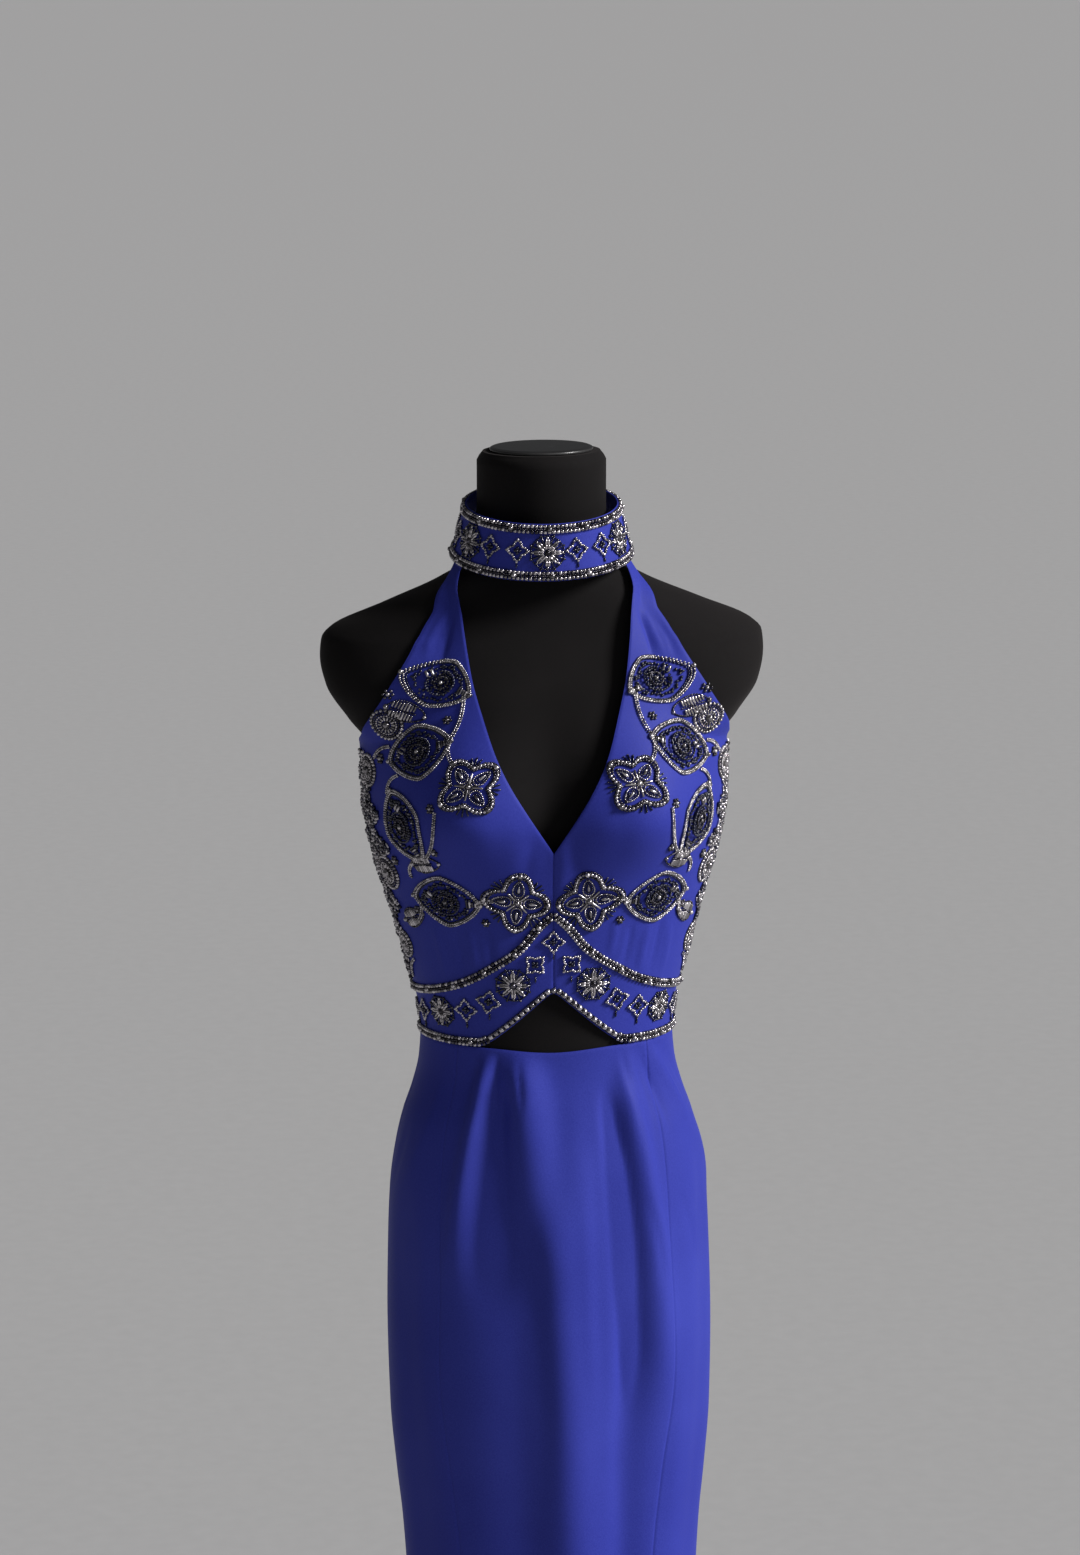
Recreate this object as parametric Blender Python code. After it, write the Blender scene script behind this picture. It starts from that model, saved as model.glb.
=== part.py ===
"""Halter cocktail dress with beaded edges, worn by a limbless dress form on a pole and a round base.

Metres, +Z up. The front faces -Y and the wearer's left is +X. The origin is on the floor, under the pole.
Angles go round the body from the front: 0 is the centre front, 90 the left side seam, 180 the centre back.
"""

import math
from collections import namedtuple

import bmesh
import bpy
import numpy as np
from mathutils import Matrix, Vector

# Cloth and seams
CLOTH = 0.0012
SEAM_GAP = 0.0003
# Half the gap at an upright seam, as an angle at the body's mean radius
SEAM_INSET = SEAM_GAP / 2 / 0.1
TRIM_LIFT = 0.0006
MOTIF_LIFT = 0.0010

# Heights of the dress's seams and edges
HEM_Z = 0.405
WAIST_SEAM_Z = 1.0368
SIDE_TOP_Z = 1.2885
BACK_TOP_Z = 1.215
ZIP_END_Z = 0.8925
SLIT_TOP_Z = 0.575

# The opening at the waist, between the skirt's edge and the arched waistband
OPENING_CORNER_DEG = 38.0
OPENING_RISE = 0.0515
OPENING_DIP = 0.0032
OPENING_ROUNDING = 0.06

# Beaded edging: width on the collar and the upper seam, and width of the single row along the arch
EDGING_WIDTH = 0.0086
ARCH_EDGING_WIDTH = 0.0066
BEAD_HEIGHT = 0.0030

# Dress form
FORM_BOTTOM_Z = 0.720
NECK_TOP_Z = 1.540
POLE_RADIUS = 0.016
FLANGE_RADIUS = 0.034
FLANGE_NECK_RADIUS = 0.022
FLANGE_HEIGHT = 0.026
FLANGE_RIM = 0.006
FOOT_RADIUS = 0.030
FOOT_NECK_RADIUS = 0.020
FOOT_HEIGHT = 0.020
FOOT_RIM = 0.005
BASE_RADIUS = 0.187
BASE_THICKNESS = 0.012

# Centre back: half the chain's width, half the zip's slot and half the slit's width at the hem
ZIP_CHAIN_HALF = 0.00175
ZIP_CHAIN_THICKNESS = 0.0010
ZIP_SLOT_HALF = 0.00210
SLIT_HALF = 0.0050

# Zip slider with the bridge on it, and the pull tab with the window that the bridge runs through
SLIDER = (0.0076, 0.0016, 0.0104)
SLIDER_DROP = 0.0085
SLIDER_EDGE = 0.0004
BRIDGE_WIDTH = 0.0016
BRIDGE_HALF_LENGTH = 0.0032
BRIDGE_CLEARANCE = 0.0020
BRIDGE_THICKNESS = 0.0009
BRIDGE_FOOT = 0.0004
PULL_WIDTH = 0.0070
PULL_TIP_SHARE = 0.72
PULL_LENGTH = 0.0250
PULL_SHOULDER = 0.0138
PULL_THICKNESS = 0.0011
PULL_WINDOW_TOP = -0.0006
PULL_WINDOW_LOW = -0.0039
PULL_WINDOW_PLAY = 0.0008
HINGE_PLAY = 0.0004

Section = namedtuple("Section", "z half_width front back squareness centre_y")

FORM_SECTIONS = [
    Section(0.720, 0.1320, 0.0910, 0.1030, 2.3, 0.000),
    Section(0.790, 0.1360, 0.0940, 0.1090, 2.3, 0.000),
    Section(0.860, 0.1350, 0.0960, 0.1110, 2.3, 0.000),
    Section(0.920, 0.1285, 0.0940, 0.1030, 2.3, 0.000),
    Section(0.980, 0.1130, 0.0880, 0.0900, 2.2, 0.000),
    Section(1.025, 0.1060, 0.0838, 0.0830, 2.2, 0.000),
    Section(1.060, 0.1085, 0.0848, 0.0845, 2.2, 0.000),
    Section(1.110, 0.1200, 0.0888, 0.0900, 2.2, 0.000),
    Section(1.170, 0.1350, 0.0930, 0.0950, 2.2, 0.000),
    Section(1.230, 0.1490, 0.0940, 0.0980, 2.2, 0.000),
    Section(1.270, 0.1512, 0.0910, 0.0990, 2.2, 0.002),
    Section(1.290, 0.1522, 0.0880, 0.0985, 2.2, 0.003),
    Section(1.312, 0.1675, 0.0830, 0.0950, 2.2, 0.004),
    Section(1.340, 0.1855, 0.0765, 0.0890, 2.2, 0.005),
    Section(1.365, 0.1905, 0.0680, 0.0810, 2.2, 0.006),
    Section(1.381, 0.1890, 0.0610, 0.0740, 2.2, 0.006),
    Section(1.391, 0.1800, 0.0570, 0.0690, 2.1, 0.006),
    Section(1.410, 0.1360, 0.0520, 0.0620, 2.0, 0.006),
    Section(1.430, 0.0890, 0.0500, 0.0580, 2.0, 0.006),
    Section(1.446, 0.0640, 0.0510, 0.0560, 2.0, 0.005),
    Section(1.465, 0.0570, 0.0520, 0.0550, 2.0, 0.003),
    Section(1.500, 0.0550, 0.0530, 0.0530, 2.0, -0.002),
    Section(1.532, 0.0550, 0.0530, 0.0530, 2.0, -0.006),
    Section(1.540, 0.0500, 0.0480, 0.0480, 2.0, -0.006),
]

# The surface that the cloth hangs on where it stands clear of the form
DRESS_SECTIONS = [
    Section(0.405, 0.1215, 0.0880, 0.1000, 2.25, 0.0),
    Section(0.480, 0.1240, 0.0900, 0.1035, 2.25, 0.0),
    Section(0.553, 0.1272, 0.0925, 0.1070, 2.25, 0.0),
    Section(0.596, 0.1300, 0.0940, 0.1090, 2.25, 0.0),
    Section(0.640, 0.1345, 0.0957, 0.1112, 2.25, 0.0),
    Section(0.700, 0.1392, 0.0977, 0.1140, 2.25, 0.0),
    Section(0.775, 0.1405, 0.0990, 0.1160, 2.3, 0.0),
    Section(0.852, 0.1388, 0.0990, 0.1150, 2.3, 0.0),
    Section(0.900, 0.1362, 0.0977, 0.1090, 2.3, 0.0),
    Section(0.935, 0.1310, 0.0955, 0.1030, 2.3, 0.0),
    Section(0.962, 0.1245, 0.0930, 0.0970, 2.3, 0.0),
    Section(0.985, 0.1165, 0.0900, 0.0920, 2.25, 0.0),
    Section(1.012, 0.1098, 0.0862, 0.0865, 2.2, 0.0),
    Section(1.036, 0.1080, 0.0850, 0.0840, 2.2, 0.0),
    Section(1.060, 0.1098, 0.0866, 0.0855, 2.2, 0.0),
    Section(1.095, 0.1180, 0.0905, 0.0895, 2.2, 0.0),
    Section(1.148, 0.1315, 0.0960, 0.0950, 2.2, 0.0),
    Section(1.201, 0.1470, 0.1000, 0.0985, 2.2, 0.0),
    Section(1.236, 0.1532, 0.1010, 0.1000, 2.2, 0.0),
    Section(1.262, 0.1545, 0.1000, 0.1000, 2.2, 0.0),
    Section(1.290, 0.1560, 0.0970, 0.0995, 2.2, 0.0),
    Section(1.330, 0.1500, 0.0900, 0.0940, 2.2, 0.0),
    Section(1.370, 0.1290, 0.0840, 0.0870, 2.1, 0.0),
    Section(1.410, 0.1000, 0.0775, 0.0790, 2.0, 0.0),
    Section(1.450, 0.0760, 0.0720, 0.0720, 2.0, 0.0),
]

Cup = namedtuple("Cup", "angle_deg width_deg centre_z above below swell")
FORM_CUP = Cup(34.0, 21.0, 1.243, 0.060, 0.044, 0.0340)
DRESS_CUP = Cup(33.0, 25.0, 1.243, 0.066, 0.050, 0.0340)
FORM_BRIDGE = 0.15
DRESS_BRIDGE = 0.22
# The cups' inner slopes meet in a curve about this wide
CUP_MEETING_DEG = 5.0
ROUNDING = 0.0008

# Soft folds of the skirt: where each starts and ends, its half-width and its depth, a trough if negative
Fold = namedtuple("Fold", "top_z bottom_z top_deg bottom_deg width_deg depth")
SKIRT_FOLDS = [
    Fold(1.036, 0.850, -36.0, -46.0, 4.6, 0.0085),
    Fold(1.010, 0.830, -28.5, -31.0, 8.0, -0.0065),
    Fold(1.040, 0.860, -19.0, -3.0, 13.0, 0.0095),
    Fold(0.920, 0.500, -3.0, 5.0, 13.0, 0.0085),
    Fold(1.020, 0.460, 10.0, 11.0, 12.0, 0.0045),
    Fold(1.010, 0.740, 28.0, 37.0, 5.6, -0.0085),
    Fold(1.036, 0.720, 37.5, 50.0, 6.0, 0.0075),
    Fold(1.030, 0.880, 54.0, 97.0, 7.0, 0.0025),
    Fold(0.960, 0.470, 74.0, 68.0, 6.0, -0.0025),
    Fold(0.820, 0.450, 36.0, 33.0, 8.0, -0.0045),
    Fold(0.930, 0.450, -70.0, -66.0, 8.0, -0.0030),
    Fold(0.900, 0.430, 118.0, 122.0, 10.0, -0.0055),
    Fold(0.900, 0.430, -120.0, -118.0, 10.0, -0.0050),
    Fold(0.860, 0.420, 148.0, 150.0, 9.0, 0.0045),
    Fold(0.860, 0.420, -150.0, -148.0, 9.0, 0.0045),
]

# Seam over the waistband: its height at each angle from the centre front
SeamPoint = namedtuple("SeamPoint", "angle_deg z")
UPPER_SEAM = [
    SeamPoint(0, 1.1570),
    SeamPoint(7, 1.1465),
    SeamPoint(17, 1.1262),
    SeamPoint(31, 1.1094),
    SeamPoint(46, 1.0945),
    SeamPoint(62, 1.0852),
    SeamPoint(76, 1.0805),
    SeamPoint(90, 1.0785),
    SeamPoint(180, 1.0785),
]

# Edges of a bodice front, row by row from the waistband seam to the end in the collar
FrontRow = namedtuple("FrontRow", "step inner_z outer_z outer_deg")
FRONT_STEPS = 22
NECKLINE_STEP = 4
FRONT_ROWS = [
    FrontRow(0, 1.1570, 1.0785, 90.0),
    FrontRow(4, 1.2115, 1.1600, 90.0),
    FrontRow(8, 1.2650, 1.2380, 90.0),
    FrontRow(11, 1.3060, 1.2885, 90.0),
    FrontRow(12, 1.3190, 1.3040, 78.0),
    FrontRow(14, 1.3470, 1.3400, 67.0),
    FrontRow(16, 1.3750, 1.3740, 64.3),
    FrontRow(18, 1.4050, 1.4060, 66.0),
    FrontRow(19, 1.4230, 1.4240, 72.0),
    FrontRow(20, 1.4420, 1.4455, 86.0),
    FrontRow(22, 1.4525, 1.4570, 90.0),
]
NECKLINE = [
    SeamPoint(0.0, 1.2115),
    SeamPoint(5.2, 1.2285),
    SeamPoint(9.8, 1.2446),
    SeamPoint(18.2, 1.2750),
    SeamPoint(26.0, 1.3040),
    SeamPoint(38.0, 1.3500),
    SeamPoint(46.0, 1.3860),
    SeamPoint(56.0, 1.4170),
    SeamPoint(70.0, 1.4400),
]
TUCK_STEP = 20

# Collar: a leaning cone, lower at the front
COLLAR_CENTRE = (0.0, 0.002, 1.449)
COLLAR_LEAN = math.radians(9.5)
COLLAR_BOTTOM = (0.0757, 0.0725)
COLLAR_TOP = (0.0640, 0.0620)
COLLAR_HEIGHT = 0.047
COLLAR_END_DEG = 179.75
STRAP_START = -0.06
STRAP_TUCK = 0.15

# Beaded motifs: where each lies, how far it is turned and how large it is, on the wearer's left
Motif = namedtuple("Motif", "kind word angle_deg z turn_deg size")
BODICE_MOTIFS = [
    Motif("star", "upper", 31.0, 1.2710, 50.0, 0.0270),
    Motif("star", "lower", 17.0, 1.1690, 8.0, 0.0275),
    Motif("leaf", "top", 51.5, 1.3510, 20.0, 0.0275),
    Motif("leaf", "upper", 53.5, 1.2950, -22.0, 0.0315),
    Motif("leaf", "middle", 58.0, 1.2320, 62.0, 0.0330),
    Motif("leaf", "lower", 47.5, 1.1680, 4.0, 0.0305),
    Motif("rosette", "upper", 66.5, 1.3155, 0.0, 0.0130),
    Motif("rosette", "middle", 78.0, 1.2720, 0.0, 0.0140),
    Motif("rosette", "lower", 74.0, 1.1850, 0.0, 0.0155),
    Motif("rosette", "small", 77.0, 1.1200, 0.0, 0.0120),
    Motif("burst", "inner", 21.0, 1.0945, 0.0, 0.0135),
    Motif("burst", "outer", 60.0, 1.0655, 0.0, 0.0125),
]
COLLAR_MOTIF_ANGLES = {"front": 0.0, "left": 62.0, "right": -62.0, "back_left": 124.0, "back_right": -124.0}
COLLAR_MOTIF_SIZE = 0.0135
BUTTON_RISES = {"lower": 0.34, "upper": 0.66}
BUTTON_DEG = -173.5
BUTTON_SIZE = 0.0052
# A star's dents and a leaf's width as shares of the size, and how pointed the leaf is
STAR_DENT = 0.62
LEAF_WIDTH = 0.80
LEAF_POINT = 1.45


def smooth_curve(xs, ys):
    """A monotone cubic through the points, which reads whole arrays."""
    xs, ys = np.array(xs, float), np.array(ys, float)
    step = np.diff(xs)
    rise = np.diff(ys) / step
    slope = np.zeros(len(xs))
    slope[0], slope[-1] = rise[0], rise[-1]
    for i in range(1, len(xs) - 1):
        if rise[i - 1] * rise[i] > 0:
            before = 2 * step[i] + step[i - 1]
            after = step[i] + 2 * step[i - 1]
            slope[i] = (before + after) / (before / rise[i - 1] + after / rise[i])

    def read(x):
        x = np.clip(x, xs[0], xs[-1])
        i = np.clip(np.searchsorted(xs, x) - 1, 0, len(xs) - 2)
        u = (x - xs[i]) / step[i]
        start = ys[i] * (1 + 2 * u) * (1 - u) ** 2 + step[i] * slope[i] * u * (1 - u) ** 2
        end = ys[i + 1] * u**2 * (3 - 2 * u) - step[i] * slope[i + 1] * u**2 * (1 - u)
        return start + end

    return read


def section_curves(sections):
    """One smooth curve of height for each column of a table of sections."""
    heights = [s.z for s in sections]
    return {name: smooth_curve(heights, [getattr(s, name) for s in sections]) for name in Section._fields[1:]}


def seam_curve(points):
    """A seam's height as a function of the angle from the centre front, in degrees, alike on both sides."""
    return smooth_curve([p.angle_deg for p in points], [p.z for p in points])


FORM = section_curves(FORM_SECTIONS)
DRESS = section_curves(DRESS_SECTIONS)
upper_seam = seam_curve(UPPER_SEAM)
neckline_deg = smooth_curve([p.z for p in NECKLINE], [p.angle_deg for p in NECKLINE])
front_inner_z = smooth_curve([r.step for r in FRONT_ROWS], [r.inner_z for r in FRONT_ROWS])
front_outer_z = smooth_curve([r.step for r in FRONT_ROWS], [r.outer_z for r in FRONT_ROWS])
front_outer_deg = smooth_curve([r.step for r in FRONT_ROWS], [r.outer_deg for r in FRONT_ROWS])
# Clearance between the form and the cloth: close where the dress is held, wider over the bust
CLEARANCES = [(0.72, 0.0015), (0.90, 0.0018), (1.00, 0.0006), (1.10, 0.0008), (1.20, 0.0016), (1.30, 0.0048)]
clearance = smooth_curve(*zip(*CLEARANCES))


def smoothstep(x):
    x = np.clip(x, 0, 1)
    return x * x * (3 - 2 * x)


def ring_radius(curves, angle, z):
    """Radius of a section at an angle: a rounded oval with its own depth in front and behind."""
    depth = np.where(np.cos(angle) > 0, curves["front"](z), curves["back"](z))
    power = curves["squareness"](z)
    across = np.abs(np.sin(angle)) / curves["half_width"](z)
    along = np.abs(np.cos(angle)) / depth
    return (across**power + along**power) ** (-1 / power)


def cup_swell(cup, angle, z, bridge):
    """What the bust adds to the radius. The cloth bridges from cup to cup, and the form less so."""
    height = np.where(z > cup.centre_z, cup.above, cup.below)
    upright = np.exp(-(((z - cup.centre_z) / height) ** 2))
    off = (np.hypot(np.degrees(angle), CUP_MEETING_DEG) - cup.angle_deg) / cup.width_deg
    round_side = np.exp(-(off**2))
    between = np.where(off < 0, bridge + (1 - bridge) * round_side, round_side)
    return cup.swell * upright * between


def form_radius(angle, z):
    return ring_radius(FORM, angle, z) + cup_swell(FORM_CUP, angle, z, FORM_BRIDGE)


def fold_depth(angle, z):
    """How far the skirt's folds move the cloth out, each fading in at its top and out at its bottom."""
    total = np.zeros(np.broadcast(angle, z).shape)
    for fold in SKIRT_FOLDS:
        along = (fold.top_z - z) / (fold.top_z - fold.bottom_z)
        middle = fold.top_deg + (fold.bottom_deg - fold.top_deg) * np.clip(along, 0, 1)
        width = fold.width_deg * (0.7 + 0.6 * np.clip(along, 0, 1))
        off = (np.degrees(angle) - middle) / width
        fade = smoothstep(along / 0.18) * smoothstep((1.25 - along) / 0.6)
        total = total + fold.depth * fade * np.exp(-(off**2))
    return total


def dress_radius(angle, z):
    """Radius of the cloth's inner face: its own section or the form with its clearance, whichever is larger."""
    own = ring_radius(DRESS, angle, z) + cup_swell(DRESS_CUP, angle, z, DRESS_BRIDGE) + fold_depth(angle, z)
    least = form_radius(angle, z) + clearance(z) - np.maximum(FORM_BOTTOM_Z - z, 0)
    return 0.5 * (own + least + np.sqrt((own - least) ** 2 + ROUNDING**2))


def polar_point(radius, angle, z):
    middle = FORM["centre_y"](z)
    return np.stack([radius * np.sin(angle), middle - radius * np.cos(angle), z + 0 * angle], axis=-1)


def dress_point(angle, z):
    """A point on the cloth's inner face."""
    angle, z = np.broadcast_arrays(np.asarray(angle, float), np.asarray(z, float))
    return polar_point(dress_radius(angle, z), angle, z)


def collar_point(angle, rise):
    """A point on the collar's inner face. Rise is 0 at its lower edge and 1 at its upper one."""
    angle, rise = np.broadcast_arrays(np.asarray(angle, float), np.asarray(rise, float))
    wide = COLLAR_BOTTOM[0] + (COLLAR_TOP[0] - COLLAR_BOTTOM[0]) * rise
    deep = COLLAR_BOTTOM[1] + (COLLAR_TOP[1] - COLLAR_BOTTOM[1]) * rise
    across, ahead, up = wide * np.sin(angle), deep * np.cos(angle), COLLAR_HEIGHT * rise
    y = -ahead * math.cos(COLLAR_LEAN) - up * math.sin(COLLAR_LEAN)
    z = -ahead * math.sin(COLLAR_LEAN) + up * math.cos(COLLAR_LEAN)
    return np.stack([across, y, z], axis=-1) + np.array(COLLAR_CENTRE)


def outward(surface, a, b, step_a, step_b):
    """Unit normals of a surface of two numbers, facing away from the body's axis."""
    along = surface(a + step_a, b) - surface(a - step_a, b)
    up = surface(a, b + step_b) - surface(a, b - step_b)
    normal = np.cross(along, up)
    return normal / np.linalg.norm(normal, axis=-1, keepdims=True)


def dress_normal(angle, z):
    return outward(dress_point, angle, z, 0.01, 0.002)


def collar_normal(angle, rise):
    return outward(collar_point, angle, rise, 0.01, 0.02)


def skirt_top(angle_deg):
    """The skirt's upper edge: level at the seam, dipping a little across the opening."""
    inside = smoothstep((OPENING_CORNER_DEG - np.abs(angle_deg)) / OPENING_CORNER_DEG)
    return WAIST_SEAM_Z - SEAM_GAP / 2 - OPENING_DIP * inside


def waistband_bottom(angle_deg):
    """The waistband's lower edge: level at the sides and back, an arch over the opening."""
    share = np.sin(np.radians(np.clip(np.abs(angle_deg), 0, 90))) / math.sin(math.radians(OPENING_CORNER_DEG))
    slope = OPENING_RISE * (1.02 - np.sqrt(share**2 + OPENING_ROUNDING**2))
    arch = 0.5 * (slope + np.sqrt(slope**2 + 0.004**2))
    return WAIST_SEAM_Z + SEAM_GAP / 2 + np.where(np.abs(angle_deg) < 60, arch, 0.0) * smoothstep(
        (60 - np.abs(angle_deg)) / 15
    )


def back_top(angle_deg):
    """The bodice back's upper edge, from the underarm down to the zip."""
    share = smoothstep((np.abs(angle_deg) - 90) / 90)
    return SIDE_TOP_Z + (BACK_TOP_Z - SIDE_TOP_Z) * share


def material(name, colour, roughness, metallic=0.0):
    made = bpy.data.materials.new(name)
    made.use_nodes = True
    shader = made.node_tree.nodes["Principled BSDF"]
    shader.inputs["Base Color"].default_value = (*colour, 1.0)
    shader.inputs["Roughness"].default_value = roughness
    shader.inputs["Metallic"].default_value = metallic
    return made


def add_object(name, bm, finish, smooth=True):
    mesh = bpy.data.meshes.new(name)
    bm.to_mesh(mesh)
    bm.free()
    mesh.materials.append(finish)
    if smooth:
        mesh.shade_smooth()
        mesh.set_sharp_from_angle(angle=math.radians(50))
    obj = bpy.data.objects.new(name, mesh)
    bpy.context.scene.collection.objects.link(obj)
    return obj


def closed_wall(name, inner, outer, finish):
    """A cloth wall: two grids of points, inner and outer, joined round their edges."""
    rows, columns = inner.shape[:2]
    bm = bmesh.new()
    faces_of = []
    for grid in (inner, outer):
        faces_of.append([[bm.verts.new(point) for point in row] for row in grid])
    inside, outside = faces_of
    for i in range(rows - 1):
        for j in range(columns - 1):
            bm.faces.new([outside[i][j], outside[i][j + 1], outside[i + 1][j + 1], outside[i + 1][j]])
            bm.faces.new([inside[i][j], inside[i + 1][j], inside[i + 1][j + 1], inside[i][j + 1]])
    edge = [(0, j) for j in range(columns)]
    edge += [(i, columns - 1) for i in range(1, rows)]
    edge += [(rows - 1, j) for j in range(columns - 2, -1, -1)]
    edge += [(i, 0) for i in range(rows - 2, 0, -1)]
    for (i, j), (k, m) in zip(edge, edge[1:] + edge[:1]):
        bm.faces.new([outside[k][m], outside[i][j], inside[i][j], inside[k][m]])
    return add_object(name, bm, finish)


def panel(name, surface, columns, rows, finish, thickness=CLOTH):
    """A cloth wall from a surface of two shares, across and up, given at each column and row."""
    across, up = np.meshgrid(np.linspace(0, 1, columns + 1), np.linspace(0, 1, rows + 1))
    inner = surface(across, up)
    step = 1e-3
    normal = outward(surface, across, up, step, step)
    return closed_wall(name, inner, inner + normal * thickness, finish)


def mirrored(surface, side):
    """The same surface, or its mirror image on the wearer's right for side -1, still running left to right."""
    if side > 0:
        return surface

    def other(across, up):
        return surface(1 - across, up) * np.array([-1.0, 1.0, 1.0])

    return other


def front_surface(across, up):
    """Bodice front on the wearer's left, from the centre front or neckline to the side seam or armhole."""
    step = up * FRONT_STEPS
    inner_z, outer_z = front_inner_z(step), front_outer_z(step)
    inner_deg = np.where(step > NECKLINE_STEP, neckline_deg(inner_z), 0.0)
    inner = np.radians(inner_deg) + SEAM_INSET
    outer = np.radians(front_outer_deg(step)) - SEAM_INSET
    angle = inner + (outer - inner) * across
    z = inner_z + (outer_z - inner_z) * across
    seam_line = upper_seam(0) + (upper_seam(90) - upper_seam(0)) * across
    follow = np.clip(1 - step / NECKLINE_STEP, 0, 1) ** 2
    z = z + (upper_seam(np.degrees(angle)) - seam_line) * follow + SEAM_GAP / 2
    on_body = dress_point(angle, z)
    rise = STRAP_START + (step - TUCK_STEP) / (FRONT_STEPS - TUCK_STEP) * (STRAP_TUCK - STRAP_START)
    tucked = collar_point(angle, rise) - collar_normal(angle, rise) * (CLOTH + 2 * SEAM_GAP)
    share = smoothstep(step - TUCK_STEP + 1)[..., None]
    return on_body + (tucked - on_body) * share


def waistband_front(across, up):
    """Waistband front on the wearer's left, from the centre front to the side seam."""
    angle = SEAM_INSET + (math.pi / 2 - 2 * SEAM_INSET) * across
    low = waistband_bottom(np.degrees(angle))
    high = upper_seam(np.degrees(angle)) - SEAM_GAP / 2
    return dress_point(angle, low + (high - low) * up)


def back_edge_inset(z):
    """Half of the gap at the centre back: the zip's slot, a closed seam below it, and the slit at the hem."""
    slot = ZIP_SLOT_HALF * smoothstep((z - ZIP_END_Z + 0.012) / 0.010)
    slit = SLIT_HALF * np.clip((SLIT_TOP_Z - z) / (SLIT_TOP_Z - HEM_Z), 0, 1) ** 1.3
    return SEAM_GAP / 2 + slot + slit


def back_surface(bottom, top):
    """Back cloth on the wearer's left, from the side seam to the centre back."""

    def surface(across, up):
        rough = np.radians(90 + 90 * across)
        low, high = bottom(np.degrees(rough)), top(np.degrees(rough))
        z = low + (high - low) * up
        first = math.pi / 2 + SEAM_INSET
        last = math.pi - back_edge_inset(z) / ring_radius(DRESS, math.pi, z)
        return dress_point(first + (last - first) * across, z)

    return surface


def skirt_front(across, up):
    """Skirt front, from side seam to side seam."""
    angle = (math.pi / 2 - SEAM_INSET) * (2 * across - 1)
    return dress_point(angle, HEM_Z + (skirt_top(np.degrees(angle)) - HEM_Z) * up)


def skirt_back(side):
    """Skirt back for one side, with folds of its own."""

    def surface(across, up):
        share = across if side > 0 else 1 - across
        z = HEM_Z + (skirt_top(180.0) - HEM_Z) * up
        first = math.pi / 2 + SEAM_INSET
        last = math.pi - back_edge_inset(z) / ring_radius(DRESS, math.pi, z)
        return dress_point(side * (first + (last - first) * share), z)

    return surface


def collar_surface(across, up):
    return collar_point(math.radians(COLLAR_END_DEG) * (2 * across - 1), up)


def dress_place(angle_deg, z, turn_deg, side):
    """A flat drawing laid on the cloth: it takes a place in metres from its centre and a height over the cloth."""
    angle, turn = math.radians(angle_deg), math.radians(turn_deg)
    radius = float(dress_radius(angle, z))
    upright = math.sqrt(1 - float(dress_normal(angle, z)[2]) ** 2)

    def place(u, v, height):
        across = u * math.cos(turn) - v * math.sin(turn)
        up = u * math.sin(turn) + v * math.cos(turn)
        there, level = angle + across / radius, z + up * upright
        point = dress_point(there, level) + dress_normal(there, level) * (CLOTH + height)
        return point * np.array([side, 1.0, 1.0])

    return place


def collar_place(angle_deg, rise, turn_deg=0.0):
    """The same on the collar."""
    angle, turn = math.radians(angle_deg), math.radians(turn_deg)
    radius = COLLAR_BOTTOM[0] + (COLLAR_TOP[0] - COLLAR_BOTTOM[0]) * rise

    def place(u, v, height):
        across = u * math.cos(turn) - v * math.sin(turn)
        up = u * math.sin(turn) + v * math.cos(turn)
        there, level = angle + across / radius, rise + up / COLLAR_HEIGHT
        return collar_point(there, level) + collar_normal(there, level) * (CLOTH + height)

    return place


def star_outline(size):
    """Four pointed petals with a dent between each two."""
    return lambda turn: size * (STAR_DENT + (1 - STAR_DENT) * abs(math.cos(2 * turn)) ** 1.5)


def leaf_outline(size):
    """A pointed oval."""

    def radius(turn):
        along, beside = abs(math.cos(turn)), abs(math.sin(turn)) / LEAF_WIDTH
        return size / (along**LEAF_POINT + beside**LEAF_POINT) ** (1 / LEAF_POINT)

    return radius


def round_outline(size):
    return lambda turn: size


# Kinds of motif: outline, spokes of its mesh, and height over the cloth at each share of its radius
MotifKind = namedtuple("MotifKind", "outline spokes heights")
RELIEF = [(0.0, 0.0040), (0.30, 0.0028), (0.75, 0.0030), (1.0, 0.0012)]
DOME = [(0.0, 0.0036), (0.60, 0.0028), (1.0, 0.0012)]
BUTTON = [(0.0, 0.0062), (0.55, 0.0055), (0.88, 0.0036), (1.0, 0.0018)]
MOTIF_KINDS = {
    "star": MotifKind(star_outline, 16, RELIEF),
    "leaf": MotifKind(leaf_outline, 12, RELIEF),
    "rosette": MotifKind(round_outline, 10, DOME),
    "burst": MotifKind(round_outline, 10, DOME),
    "button": MotifKind(round_outline, 12, BUTTON),
}


def plate(name, place, kind, size, finish):
    """A motif or button: a low closed relief over an outline, its underside following the cloth."""
    shape = MOTIF_KINDS[kind]
    outline = shape.outline(size)
    turns = [2 * math.pi * k / shape.spokes for k in range(shape.spokes)]
    bm = bmesh.new()

    def ring(share, height):
        if share == 0:
            return [bm.verts.new(place(0.0, 0.0, height))]
        spots = [(share * outline(t) * math.cos(t), share * outline(t) * math.sin(t)) for t in turns]
        return [bm.verts.new(place(u, v, height)) for u, v in spots]

    rings = [ring(share, MOTIF_LIFT + height) for share, height in shape.heights]
    rings += [ring(share, MOTIF_LIFT) for share in (1.0, 0.5, 0.0)]
    bridge_rings(bm, rings)
    bmesh.ops.recalc_face_normals(bm, faces=bm.faces)
    return add_object(name, bm, finish)


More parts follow.
